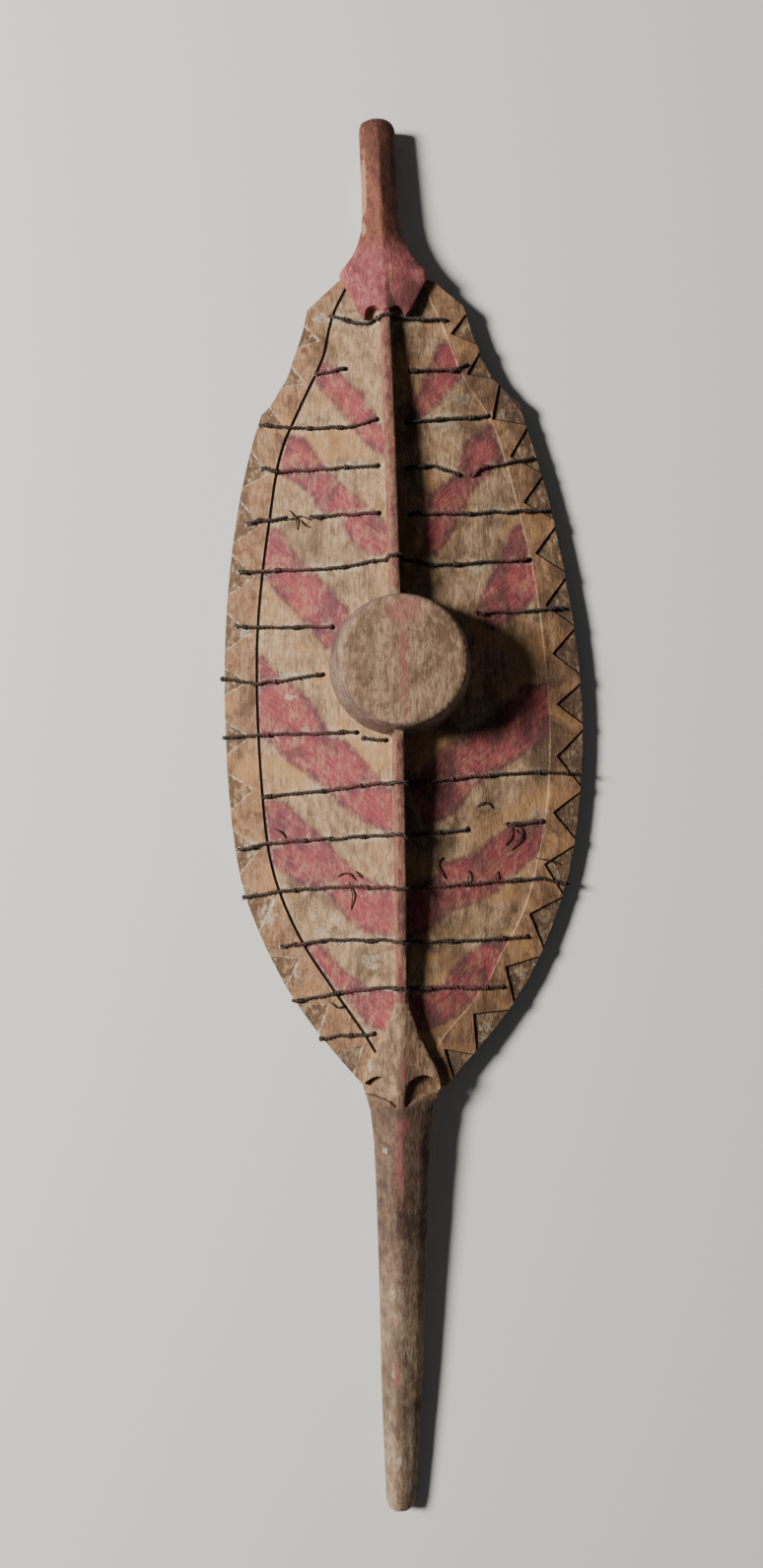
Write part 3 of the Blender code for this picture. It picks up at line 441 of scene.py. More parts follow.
class Shader:
    """A material whose nodes are added by short calls that return output sockets."""

    def __init__(self, name):
        self.material = bpy.data.materials.new(name)
        self.material.use_nodes = True
        self.tree = self.material.node_tree
        self.surface = self.tree.nodes["Principled BSDF"]
        self.place = self.add("ShaderNodeTexCoord").outputs["Object"]

    def add(self, kind, **settings):
        node = self.tree.nodes.new(kind)
        for key, value in settings.items():
            setattr(node, key, value)
        return node

    def feed(self, socket, value):
        if isinstance(value, bpy.types.NodeSocket):
            self.tree.links.new(value, socket)
        else:
            socket.default_value = value

    def attribute(self, name):
        return self.add("ShaderNodeAttribute", attribute_name=name).outputs["Fac"]

    def math(self, operation, a, b=0.0, clamp=False):
        node = self.add("ShaderNodeMath", operation=operation, use_clamp=clamp)
        self.feed(node.inputs[0], a)
        self.feed(node.inputs[1], b)
        return node.outputs[0]

    def mix(self, share, a, b):
        node = self.add("ShaderNodeMix", data_type="RGBA")
        self.feed(node.inputs[0], share)
        self.feed(node.inputs[6], a)
        self.feed(node.inputs[7], b)
        return node.outputs[2]

    def noise(self, stretch, detail=4.0, roughness=0.6, distortion=0.0, place=None):
        spread = self.add("ShaderNodeVectorMath", operation="MULTIPLY")
        self.feed(spread.inputs[0], place or self.place)
        spread.inputs[1].default_value = stretch
        node = self.add("ShaderNodeTexNoise")
        self.feed(node.inputs["Vector"], spread.outputs[0])
        node.inputs["Scale"].default_value = 1.0
        node.inputs["Detail"].default_value = detail
        node.inputs["Roughness"].default_value = roughness
        node.inputs["Distortion"].default_value = distortion
        return node.outputs["Fac"]

    def folded(self, turn):
        """The place mirrored about the keel and turned in plan, so that both halves match."""
        parts = self.add("ShaderNodeSeparateXYZ")
        self.feed(parts.inputs[0], self.place)
        joined = self.add("ShaderNodeCombineXYZ")
        self.feed(joined.inputs[0], self.math("ABSOLUTE", self.math("ADD", parts.outputs[0], KEEL_LINE)))
        self.feed(joined.inputs[1], parts.outputs[1])
        node = self.add("ShaderNodeMapping", vector_type="POINT")
        self.feed(node.inputs["Vector"], joined.outputs[0])
        node.inputs["Rotation"].default_value = (0.0, 0.0, turn)
        return node.outputs[0]

    def fade(self, value, low, high, top=1.0):
        """0 below low, top above high, smooth between; high may be the smaller of the two."""
        node = self.add("ShaderNodeMapRange", interpolation_type="SMOOTHSTEP")
        self.feed(node.inputs["Value"], value)
        node.inputs["From Min"].default_value = low
        node.inputs["From Max"].default_value = high
        node.inputs["To Max"].default_value = top
        return node.outputs[0]

    def both(self, a, b):
        return self.math("MULTIPLY", a, b)

    def inverse(self, share):
        return self.math("SUBTRACT", 1.0, share)

    def shaken(self, value, ripple, reach):
        """A value that a ripple moves up and down by up to half the reach."""
        return self.math("ADD", value, self.math("MULTIPLY", self.math("SUBTRACT", ripple, 0.5), reach))

    def patches(self, places, ripple, reach):
        """Ragged patches, 1 inside them and 0 outside, from (x, y, half width, half length) in mm."""
        best = -2.0
        for x, y, half_width, half_length in places:
            away = self.add("ShaderNodeVectorMath", operation="SUBTRACT")
            self.feed(away.inputs[0], self.place)
            away.inputs[1].default_value = (x / 1000 - SHIFT, y / 1000, 0.0)
            shares = self.add("ShaderNodeVectorMath", operation="MULTIPLY")
            self.feed(shares.inputs[0], away.outputs[0])
            shares.inputs[1].default_value = (1000 / half_width, 1000 / half_length, 0.0)
            length = self.add("ShaderNodeVectorMath", operation="LENGTH")
            self.feed(length.inputs[0], shares.outputs[0])
            best = self.math("MAXIMUM", best, self.math("SUBTRACT", 1.0, length.outputs["Value"]))
        return self.fade(self.shaken(best, ripple, reach), 0.10, 0.55)

    def bump(self, height, distance, strength=1.0, normal=None):
        node = self.add("ShaderNodeBump")
        self.feed(node.inputs["Height"], height)
        node.inputs["Distance"].default_value = distance
        node.inputs["Strength"].default_value = strength
        if normal is not None:
            self.feed(node.inputs["Normal"], normal)
        return node.outputs[0]


def timber(s, marks, dark, middle, pale):
    """Weathered wood of three tones, with mottling, long grain, short fibres and pores."""
    colour = s.mix(s.fade(marks["mottle"], 0.42, 0.58), middle, pale)
    colour = s.mix(s.fade(marks["patch"], 0.50, 0.32, 0.75), colour, dark)
    colour = s.mix(s.fade(marks["mottle"], 0.42, 0.30, 0.7), colour, dark)
    colour = s.mix(s.fade(marks["grain"], 0.50, 0.36, 0.4), colour, dark)
    colour = s.mix(s.fade(marks["fibre"], 0.50, 0.36, 0.5), colour, dark)
    colour = s.mix(s.fade(marks["fibre"], 0.56, 0.70, 0.4), colour, pale)
    return s.mix(s.fade(marks["pore"], 0.62, 0.70, 0.6), colour, linear(52, 40, 32))


def red_paint(s, marks, streaks):
    """Old crimson paint: bright in the middle of a band, grimy at its edge, with brush streaks."""
    depth = s.shaken(s.attribute("paint"), marks["mottle"], 22.0)
    colour = s.mix(s.fade(depth, -2.0, 9.0), linear(106, 66, 70), linear(160, 74, 78))
    colour = s.mix(s.fade(marks["patch"], 0.52, 0.36, 0.7), colour, linear(100, 62, 72))
    colour = s.mix(s.fade(streaks, 0.50, 0.36, 0.5), colour, linear(92, 46, 50))
    colour = s.mix(s.fade(streaks, 0.56, 0.72, 0.6), colour, linear(176, 98, 92))
    return s.mix(s.fade(marks["fibre"], 0.58, 0.72, 0.3), colour, linear(168, 108, 98))


def wood_material():
    """The carving's wood and paint, laid out by the marks that shield_body sets on its points."""
    s = Shader("carved_wood_worn")
    marks = {
        "fibre": s.noise((640, 75, 640), 3.0, 0.6),
        "grain": s.noise((230, 16, 230), 4.0, 0.6),
        "mottle": s.noise((120, 75, 120), 5.0, 0.68, 0.4),
        "patch": s.noise((30, 20, 30), 4.0, 0.6, 0.5),
        "pore": s.noise((520, 300, 520), 2.0, 0.6),
    }
    ragged = s.noise((240, 160, 240), 5.0, 0.7)
    streaks = s.noise((45, 420, 1), 3.0, 0.6, place=s.folded(-BAND_SLANT))
    left = s.attribute("left")

    field = timber(s, marks, linear(100, 78, 58), linear(168, 133, 100), linear(196, 160, 122))
    border = timber(s, marks, linear(88, 64, 48), linear(150, 108, 76), linear(176, 136, 100))
    colour = s.mix(s.attribute("field"), border, field)
    stain = s.noise((13, 17, 13), 4.0, 0.62, 0.8)
    colour = s.mix(s.fade(stain, 0.50, 0.64, 0.6), colour, linear(190, 140, 88))
    colour = s.mix(s.fade(stain, 0.48, 0.36, 0.35), colour, linear(112, 88, 66))
    boss = timber(s, marks, linear(90, 66, 50), linear(136, 106, 80), linear(170, 138, 108))
    colour = s.mix(s.attribute("boss"), colour, boss)
    upper = timber(s, marks, linear(66, 50, 40), linear(102, 78, 62), linear(124, 98, 78))
    lower = timber(s, marks, linear(98, 78, 62), linear(142, 116, 92), linear(168, 142, 116))
    along = s.add("ShaderNodeSeparateXYZ")
    s.feed(along.inputs[0], s.place)
    handle = s.mix(s.fade(along.outputs[1], -0.42, -0.56), upper, lower)
    handle = s.mix(s.fade(along.outputs[1], -0.315, -0.285), handle, boss)
    colour = s.mix(s.attribute("handle"), colour, handle)
    back = timber(s, marks, linear(80, 62, 48), linear(120, 96, 74), linear(142, 116, 92))
    colour = s.mix(s.attribute("back"), colour, back)

    tooth = s.attribute("tooth")
    blotches = s.fade(s.shaken(marks["mottle"], ragged, 0.5), 0.46, 0.64)
    floor = s.mix(blotches, linear(92, 70, 50), linear(156, 128, 96))
    floor = s.mix(s.fade(s.shaken(ragged, marks["pore"], 0.4), 0.58, 0.68, 0.7), floor, linear(206, 196, 176))
    colour = s.mix(s.fade(tooth, 0.2, 0.9, 0.8), colour, floor)
    rim = s.both(s.fade(tooth, -0.6, 0.0), s.fade(tooth, 1.8, 1.2))
    # Painted highlight: on the left half the edges of the sunk triangles are paled, where their walls face
    # the light.
    painted_highlight_rim = s.both(s.both(rim, left), s.fade(ragged, 0.40, 0.56, 0.75))
    colour = s.mix(painted_highlight_rim, colour, linear(196, 180, 154))
    # Painted shadow: on the right half the edges of the sunk triangles are darkened nearly to black, where
    # their walls are in shade.
    painted_shadow_rim = s.both(s.both(rim, s.inverse(left)), 0.9)
    colour = s.mix(painted_shadow_rim, colour, linear(30, 23, 19))

    edge = s.shaken(s.attribute("paint"), ragged, 6.0)
    worn = s.fade(s.shaken(marks["mottle"], marks["fibre"], 0.5), 0.62, 0.46, 0.35)
    painted = s.both(s.fade(edge, -3.5, 3.0), s.math("ADD", worn, 0.6))
    beside_cord = s.fade(s.shaken(s.attribute("stitch"), ragged, 9.0), 10.0, 3.0)
    red = s.mix(s.both(beside_cord, 0.45), red_paint(s, marks, streaks), linear(96, 60, 70))
    colour = s.mix(painted, colour, red)
    fringe = s.fade(s.shaken(s.attribute("stitch"), ragged, 12.0), 8.0, 3.5)
    fringe = s.both(s.both(fringe, s.attribute("field")), s.fade(marks["mottle"], 0.46, 0.60, 0.5))
    fringe = s.both(fringe, s.inverse(s.both(painted, 0.8)))
    colour = s.mix(fringe, colour, linear(204, 188, 158))

    keel = timber(s, marks, linear(88, 50, 44), linear(128, 78, 67), linear(152, 110, 89))
    colour = s.mix(s.attribute("keel"), colour, keel)
    prong = timber(s, marks, linear(74, 40, 34), linear(108, 61, 48), linear(130, 80, 60))
    flare = timber(s, marks, linear(112, 56, 58), linear(158, 82, 82), linear(178, 108, 102))
    prong = s.mix(s.fade(along.outputs[1], 0.605, 0.575), prong, flare)
    colour = s.mix(s.attribute("prong"), colour, prong)
    wall = timber(s, marks, linear(76, 60, 52), linear(112, 90, 77), linear(138, 114, 97))
    colour = s.mix(s.attribute("wall"), colour, wall)

    red_rub = s.patches(RUBBED_RED, ragged, 2.6)
    red_rub = s.both(red_rub, s.math("ADD", s.attribute("boss"), s.attribute("handle")))
    colour = s.mix(s.both(red_rub, 0.65), colour, linear(146, 82, 80))
    colour = s.mix(s.both(s.patches(OCHRE_PATCHES, ragged, 1.8), 0.6), colour, linear(184, 146, 104))

    step = s.attribute("step")
    # Painted shadow: a near-black line just inside the step on the left half, where the raised border shades
    # the sunk field.
    painted_step_shadow = s.both(s.fade(step, -0.7, -0.1), s.fade(step, 3.0, 2.4))
    colour = s.mix(s.both(painted_step_shadow, s.both(left, 0.95)), colour, linear(30, 17, 15))
    beside = s.both(s.fade(step, 2.6, 3.1), s.fade(step, 4.8, 3.9))
    beside = s.both(s.both(beside, left), s.fade(ragged, 0.46, 0.6, 0.7))
    colour = s.mix(beside, colour, linear(190, 168, 140))
    # Painted highlight: a pale line along the step on the right half, where the step's wall faces the light.
    crest = s.both(s.fade(step, -1.0, -0.3), s.fade(step, 0.7, 0.1))
    crest = s.both(crest, s.both(s.inverse(left), s.fade(ragged, 0.44, 0.60, 0.65)))
    colour = s.mix(crest, colour, linear(186, 156, 122))

    face = s.inverse(s.attribute("back"))
    # Painted shade: the face is darkened within a few millimetres of each cord, as in the shade beside and
    # under it.
    stitch = s.fade(s.shaken(s.attribute("stitch"), ragged, 5.0), 3.2, 1.0, 0.4)
    colour = s.mix(s.both(stitch, face), colour, linear(62, 48, 42))
    grime = s.patches(GRIME_PATCHES, ragged, 2.6)
    colour = s.mix(s.both(s.both(grime, face), 0.5), colour, linear(78, 66, 58))
    lime = s.patches(LIME_PATCHES, ragged, 4.2)
    lime = s.both(lime, s.fade(ragged, 0.36, 0.60))
    colour = s.mix(s.both(s.both(lime, face), 0.6), colour, linear(196, 182, 158))

    # Painted shade: the right half of the face, apart from the boss and the handle, is darkened in patches,
    # as it slopes away from the light.
    painted_shade_right_half = s.both(s.inverse(left), face)
    painted_shade_right_half = s.both(painted_shade_right_half, s.inverse(s.attribute("boss")))
    painted_shade_right_half = s.both(painted_shade_right_half, s.inverse(s.attribute("handle")))
    colour = s.mix(s.both(painted_shade_right_half, s.fade(marks["patch"], 0.62, 0.40, 0.42)), colour, linear(64, 48, 40))

    s.feed(s.surface.inputs["Base Color"], colour)
    s.surface.inputs["Roughness"].default_value = 0.78
    s.surface.inputs["Specular IOR Level"].default_value = 0.3
    rough = s.bump(marks["fibre"], 0.0008, 0.8)
    rough = s.bump(marks["mottle"], 0.0016, 0.6, rough)
    rough = s.bump(s.both(streaks, painted), 0.0012, 0.7, rough)
    s.feed(s.surface.inputs["Normal"], rough)
    return s.material


def cord_material():
    s = Shader("dark_fibre_cord_twisted")
    fibre = s.noise((900, 900, 900), 3.0, 0.6)
    colour = s.mix(s.fade(fibre, 0.4, 0.65), linear(20, 16, 14), linear(86, 72, 60))
    red = s.mix(s.fade(fibre, 0.4, 0.6), linear(70, 34, 32), linear(126, 60, 58))
    colour = s.mix(s.math("MULTIPLY", s.attribute("paint"), 0.55), colour, red)
    s.feed(s.surface.inputs["Base Color"], colour)
    s.surface.inputs["Roughness"].default_value = 0.8
    s.feed(s.surface.inputs["Normal"], s.bump(fibre, 0.0003, 0.6))
    return s.material


def edge_limit(middles):
    """The longest edge allowed at each place: short on the border, keel and boss, long on the back."""
    x = middles[:, 0] + SHIFT
    y = middles[:, 1]
    offset = np.abs(x - centre_x(y))
    above = middles[:, 2] - border_z(x, y) > -STEP_DEPTH - 0.002
    inner = offset < offset_at(STEPS, x, y) - 0.005
    near_boss = np.hypot(x - centre_x(BOSS_Y) - BOSS_OFFSET, y - BOSS_Y) < BOSS_RADIUS + 0.004
    face = np.where((offset < 0.010) | near_boss, RAISED_EDGE, np.where(inner, FIELD_EDGE, BORDER_EDGE))
    limit = np.where(above, face, BACK_EDGE)
    return np.where((y > UPPER_END) | (y < LOWER_END), END_EDGE, limit)


def halved(points, faces):
    """One round of cutting every edge over its limit in two, and each triangle to suit."""
    pairs = np.concatenate([faces[:, [0, 1]], faces[:, [1, 2]], faces[:, [2, 0]]])
    edges, which = np.unique(np.sort(pairs, 1), axis=0, return_inverse=True)
    middles = (points[edges[:, 0]] + points[edges[:, 1]]) / 2
    lengths = np.linalg.norm(points[edges[:, 0]] - points[edges[:, 1]], axis=1)
    cut = lengths > edge_limit(middles)
    number = np.where(cut, len(points) + np.cumsum(cut) - 1, -1)
    cuts = number[which.reshape(-1)].reshape(3, -1).T
    points = np.concatenate([points, middles[cut]])
    count = (cuts >= 0).sum(1)
    made = [faces[count == 0]]
    for turn in range(3):
        f = np.roll(faces, -turn, axis=1)
        c = np.roll(cuts, -turn, axis=1)
        one = (count == 1) & (c[:, 0] >= 0)
        v, m = f[one], c[one]
        made += [np.stack([v[:, 0], m[:, 0], v[:, 2]], 1), np.stack([m[:, 0], v[:, 1], v[:, 2]], 1)]
        two = (count == 2) & (c[:, 2] < 0)
        v, m = f[two], c[two]
        made += [
            np.stack([m[:, 0], v[:, 1], m[:, 1]], 1),
            np.stack([v[:, 0], m[:, 0], m[:, 1]], 1),
            np.stack([v[:, 0], m[:, 1], v[:, 2]], 1),
        ]
    v, m = faces[count == 3], cuts[count == 3]
    made += [
        np.stack([v[:, 0], m[:, 0], m[:, 2]], 1),
        np.stack([m[:, 0], v[:, 1], m[:, 1]], 1),
        np.stack([m[:, 2], m[:, 1], v[:, 2]], 1),
        m,
    ]
    return points, np.concatenate(made), bool(cut.any())


def refined_copy(node, name):
    """A finely divided copy of a CAD node, welded first."""
    node.data.calc_loop_triangles()
    raw = point_array(node.data)
    faces = np.array([tuple(t.vertices) for t in node.data.loop_triangles])
    _, first, welded = np.unique(np.round(raw, 6), axis=0, return_index=True, return_inverse=True)
    points = raw[first]
    faces = welded.reshape(-1)[faces]
    more = True
    while more:
        points, faces, more = halved(points, faces)
    mesh = bpy.data.meshes.new(name)
    mesh.from_pydata(points.tolist(), [], faces.tolist())
    mesh.update()
    return mesh


def point_array(mesh):
    points = np.zeros(len(mesh.vertices) * 3)
    mesh.vertices.foreach_get("co", points)
    return points.reshape(-1, 3)


def normal_array(mesh):
    normals = np.zeros(len(mesh.vertices) * 3)
    mesh.vertex_normals.foreach_get("vector", normals)
    return normals.reshape(-1, 3)


def smoothed(points, edges, weight, rounds):
    """Moves each point towards the middle of its neighbours by its weight."""
    count = np.zeros(len(points))
    np.add.at(count, edges[:, 0], 1)
    np.add.at(count, edges[:, 1], 1)
    for _ in range(rounds):
        total = np.zeros_like(points)
        np.add.at(total, edges[:, 0], points[edges[:, 1]])
        np.add.at(total, edges[:, 1], points[edges[:, 0]])
        points = points + (total / count[:, None] - points) * weight[:, None]
    return points


def noise_values(points, scale, seed):
    offset = Vector((seed * 7.3, seed * 3.1, seed * 5.7))
    return np.array([noise.noise(Vector((p[0] * scale[0], p[1] * scale[1], p[2] * scale[2])) + offset)
                     for p in points])


def set_attribute(mesh, name, values):
    mesh.attributes.new(name, "FLOAT", "POINT").data.foreach_set("value", np.asarray(values, np.float32))


def zones(points, normals):
    """Which points of the body belong to each of its parts, by the part's name."""
    x = points[:, 0] + SHIFT
    y = points[:, 1]
    z = points[:, 2]
    offset = x - centre_x(y)
    on_board = (y < BOARD_TOP) & (y > BOARD_TOP - BOARD_LENGTH)
    above = z - face_z(x, y)
    boss_range = np.hypot(x - centre_x(BOSS_Y) - BOSS_OFFSET, y - BOSS_Y)
    boss = (boss_range < BOSS_RADIUS + 0.002) & (above > PROUD)
    keel = (np.abs(offset) < KEEL_REACH) & (above > PROUD) & (y < KEEL_TOP) & (y > KEEL_BOTTOM) & ~boss
    prong = (y > PRONG_START) & ((above > WELL_PROUD) | (y > BOARD_TOP))
    handle = (y < HANDLE_START) & ((above > WELL_PROUD) | (y < BOARD_TOP - BOARD_LENGTH)) & ~keel
    back = (normals[:, 2] < BACK_TILT) | (on_board & (z < border_z(x, y) - 0.005) & ~prong & ~handle)
    field = on_board & (np.abs(offset) < offset_at(STEPS, x, y) + 0.0002)
    return {
        "field": field & ~back & ~boss & ~keel & ~prong & ~handle,
        "boss": boss & ~back,
        "keel": keel & ~back,
        "prong": prong & ~back,
        "handle": handle & ~back,
        "back": back,
        "wall": boss & ~back & (normals[:, 2] < WALL_TILT),
    }


def shield_body(material):
    """The carving: its CAD solid, finely divided, a little worn, and marked for its paint."""
    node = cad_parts["shield_body"]
    mesh = refined_copy(node, "shield_carving")
    points = point_array(mesh)
    normals = normal_array(mesh)
    edges = np.zeros(len(mesh.edges) * 2, int)
    mesh.edges.foreach_get("vertices", edges)
    edges = edges.reshape(-1, 2)
    zone = zones(points, normals)
    proud = zone["boss"] | zone["keel"] | zone["prong"] | zone["handle"]
    weight = np.where(proud, PROUD_SMOOTHING, FLAT_SMOOTHING)
    lowest = points[:, 2] < TIP_HEIGHT
    weight[lowest] = 0.0
    points = smoothed(points, edges, weight, SMOOTHING_ROUNDS)
    low, high = cad_box
    broad = np.abs(noise_values(points, (38, 22, 38), 1))
    fine = np.abs(noise_values(points, (130, 60, 130), 2))
    inset = BROAD_WEAR * broad + FINE_WEAR * fine
    inset[lowest] = 0.0
    points = points - normals * inset[:, None]
    points = np.clip(points, np.array(low), np.array(high))
    mesh.vertices.foreach_set("co", points.reshape(-1))
    mesh.update()

    x = points[:, 0] + SHIFT
    y = points[:, 1]
    for name in ("field", "boss", "keel", "prong", "handle", "back", "wall"):
        set_attribute(mesh, name, zone[name].astype(float))
    set_attribute(mesh, "left", (x < centre_x(y)).astype(float))
    paint = np.where(zone["field"], band_distance(x, y), -30.0)
    set_attribute(mesh, "paint", np.clip(paint, -30, 30))
    on_face = ~(zone["back"] | zone["prong"] | zone["handle"] | zone["boss"] | zone["keel"])
    set_attribute(mesh, "tooth", np.where(on_face, np.clip(triangle_distance(x, y), -8, 12), -8.0))
    set_attribute(mesh, "step", np.where(on_face, np.clip(step_distance(x, y), -12, 12), -12.0))
    set_attribute(mesh, "stitch", np.clip(cord_distance(x, y), 0, 20))

    mesh.materials.clear()
    mesh.materials.append(material)
    mesh.shade_smooth()
    mesh.set_sharp_from_angle(angle=CREASE)
    piece = bpy.data.objects.new("shield_carving", mesh)
    bpy.context.scene.collection.objects.link(piece)
    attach(piece, "root")
    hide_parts("shield_body")


def along_face(points):
    """A cord's route over the face between its points, lifted clear of the edges of the sunk field."""
    route = []
    for (x0, y0), (x1, y1) in zip(points, points[1:]):
        count = max(1, round(math.hypot(x1 - x0, y1 - y0) / CORD_SPACING))
        for k in range(count + (points[-1] == (x1, y1))):
            x = x0 + (x1 - x0) * k / count
            y = y0 + (y1 - y0) * k / count
            near = [x + CORD_SPACING * step for step in (-1.0, -0.5, 0.0, 0.5, 1.0)]
            lift = max(float(face_z(place, y) - border_z(place, y)) for place in near)
            route.append(Vector((x, y, float(border_z(x, y)) + lift + CORD_CLEAR)))
    return route


def end_at_hole(point, away):
    """The end of a cord that goes down a hole, on its left (away -1) or its right (away 1)."""
    x, y = point
    top = float(face_z(x, y))
    return [
        Vector((x - away * 0.0012, y, top + CORD_CLEAR)),
        Vector((x, y, top - 0.001)),
        Vector((x, y, float(back_z(x, y)) - CORD_TAIL)),
    ]


def round_corner(corner, out, up):
    """Three points round a corner of the wood and clear of it."""
    clear = CORD_CLEAR
    return [
        corner + out * clear - up * 0.0008,
        corner + out * clear * 0.82 + up * clear * 0.82,
        corner - out * 0.0008 + up * clear,
    ]


def end_at_edge(y, side):
    """The end of a cord that goes round the board's edge and in under its back."""
    s = board_share(y)
    x = centre_x(y) + side * float(np.interp(s, SHARES, EDGES[side]))
    out = Vector((side, 0.0, 0.0))
    up = Vector((0.0, 0.0, 1.0))
    over = round_corner(Vector((x, y, float(border_z(x, y)))), out, up)
    under = round_corner(Vector((x, y, float(back_z(x, y)))), out, -up)
    inner = x - side * WRAP_LENGTH
    tail = Vector((inner, y, float(back_z(inner, y)) - CORD_CLEAR))
    return [*reversed(over), *under, tail]


def over_keel(y_left, y_right):
    """A cord's route up the left side of the keel, over its crest and down the right side."""
    points = []
    for side, y in ((-1, y_left), (1, y_right)):
        centre = centre_x(y)
        out = Vector((side, 0.0, 0.0))
        up = Vector((0.0, 0.0, 1.0))
        crest = Vector((centre + side * KEEL_CREST_WIDTH / 2, y, keel_crest_z(y)))
        foot = Vector((centre + side * (KEEL_FOOT_WIDTH / 2 + CORD_CLEAR * 1.3), y, 0.0))
        foot.z = float(face_z(foot.x, y)) + CORD_CLEAR * 1.3
        climb = [foot, *round_corner(crest, out, up)]
        points += climb if side < 0 else reversed(climb)
    return points


def lashing_route(left, right, left_end, right_end):
    """The whole route of a lashing, from its left end to its right end."""
    route = along_face(left)
    if right:
        route += over_keel(left[-1][1], right[0][1]) + along_face(right)
    last = (right or left)[-1]
    first = left[0]
    if left_end == "hole":
        route = [*reversed(end_at_hole(first, -1)), *route[1:]]
    else:
        route = [*reversed(end_at_edge(first[1], -1)), *route[1:]]
    ending = end_at_hole(last, 1) if right_end == "hole" else end_at_edge(last[1], 1)
    return route[:-1] + ending


def resampled(route, spacing):
    """Evenly spaced points along a route whose corners are rounded a little."""
    places = np.array([tuple(p) for p in route])
    steps = np.linalg.norm(np.diff(places, axis=0), axis=1)
    along = np.concatenate([[0.0], np.cumsum(steps)])
    marks = np.linspace(0.0, along[-1], max(4, round(along[-1] / spacing)))
    line = np.stack([np.interp(marks, along, places[:, k]) for k in range(3)], 1)
    for _ in range(2):
        line[1:-1] = line[1:-1] * 0.5 + (line[:-2] + line[2:]) * 0.25
    return line


def frames_along(line):
    """Each point of a line with two directions square to the line, carried along it untwisted."""
    tangents = np.gradient(line, axis=0)
    tangents /= np.linalg.norm(tangents, axis=1)[:, None] + 1e-12
    across = np.cross(tangents[0], (0.31, 0.17, 0.94))
    across /= np.linalg.norm(across)
    for place, tangent in zip(line, tangents):
        across = across - tangent * across.dot(tangent)
        across /= np.linalg.norm(across)
        yield place, across, np.cross(tangent, across)


def tube(form, line, radii, sides):
    """Adds a closed tube along a line of points to a bmesh."""
    rings = []
    for (place, across, third), radius in zip(frames_along(line), radii):
        ring = []
        for k in range(sides):
            turn = math.tau * k / sides
            ring.append(form.verts.new(place + (across * math.cos(turn) + third * math.sin(turn)) * radius))
        rings.append(ring)
    for first, second in zip(rings, rings[1:]):
        for k in range(sides):
            after = (k + 1) % sides
            form.faces.new((first[k], first[after], second[after], second[k]))
    form.faces.new(list(reversed(rings[0])))
    form.faces.new(rings[-1])


def strands(line, pitch, reach, phase):
    """The centre lines of two strands twisted about a line."""
    spacing = np.linalg.norm(line[1] - line[0])
    pair = ([], [])
    for k, (place, across, third) in enumerate(frames_along(line)):
        turn = phase + math.tau * k * spacing / pitch
        arm = (across * math.cos(turn) + third * math.sin(turn)) * reach
        pair[0].append(place + arm)
        pair[1].append(place - arm)
    return [np.array(side) for side in pair]


def wrapped_line(line, start, turns, reach):
    """The centre line of a strand wound closely round a cord."""
    steps = 9
    count = min(int(turns * 2), len(line) - start - 1)
    wound = []
    for k in range(count * steps // 2):
        at = start + k * 2 / steps
        low = int(at)
        place = line[low] + (line[low + 1] - line[low]) * (at - low)
        ahead = line[low + 1] - line[low]
        ahead = ahead / np.linalg.norm(ahead)
        across = np.cross(ahead, (0.0, 0.0, 1.0))
        across /= np.linalg.norm(across) + 1e-9
        third = np.cross(ahead, across)
        turn = math.tau * k / steps
        wound.append(place + (across * math.cos(turn) + third * math.sin(turn)) * reach)
    return np.array(wound)


def lashing(name, route, material, rng):
    """Two twisted strands with wraps and hairs, in place of a lashing's plain solid."""
    form = bmesh.new()
    line = resampled(route, CORD_STEP)
    line[:, 0] -= SHIFT
    sway = rng.random() * 40
    steps = np.arange(len(line))
    free = np.clip(np.minimum(steps, steps[::-1]) / 18, 0, 1)
    line[:, 1] += CORD_SWAY * free * np.array([noise.noise(Vector((k * 0.07, sway, 3.1))) for k in steps])
    radius = CORD_DIAMETER * STRAND_SHARE
    for strand in strands(line, STRAND_PITCH, radius * STRAND_REACH, rng.random() * 6):
        lump = rng.random() * 40
        lumps = np.array([noise.noise(Vector((k * 0.16, 7.7, lump))) for k in range(len(strand))])
        swell = 1.0 + STRAND_SWELL * lumps
        tube(form, strand, radius * swell, 6)
    at = rng.randrange(*FIRST_WRAP)
    while at < len(line) - 12:
        wound = wrapped_line(line, at, rng.choice(WRAP_TURNS), CORD_DIAMETER * WRAP_REACH)
        tube(form, wound, np.full(len(wound), WRAP_RADIUS), 5)
        at += rng.randrange(*WRAP_GAP)
    for k in range(int(len(line) / STEPS_PER_HAIR)):
        start = rng.randrange(2, len(line) - 2)
        side = Vector((rng.uniform(-0.3, 0.3), rng.choice((-1, 1)), rng.uniform(0.05, 0.6))).normalized()
        along = Vector(line[start + 1] - line[start - 1]).normalized() * rng.choice((-1, 1))
        reach = rng.uniform(*HAIR_LENGTH)
        thick = COARSE_HAIR if k % 4 == 0 else FINE_HAIR
        hair = [Vector(line[start]) + along * reach * t + side * (HAIR_ROOT + reach * 0.6 * t * t)
                for t in (0.0, 0.35, 0.7, 1.0)]
        tube(form, np.array([tuple(p) for p in hair]), [thick, thick * 0.9, thick * 0.7, thick * 0.3], 4)
    mesh = bpy.data.meshes.new(name + "_cord")
    form.to_mesh(mesh)
    form.free()
    points = point_array(mesh)
    painted = np.clip(band_distance(points[:, 0] + SHIFT, points[:, 1]) / 3, 0, 1)
    set_attribute(mesh, "paint", painted)
    mesh.materials.append(material)
    mesh.shade_smooth()
    piece = bpy.data.objects.new(name + "_cord", mesh)
    bpy.context.scene.collection.objects.link(piece)
    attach(piece, "root")
    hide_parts(name)


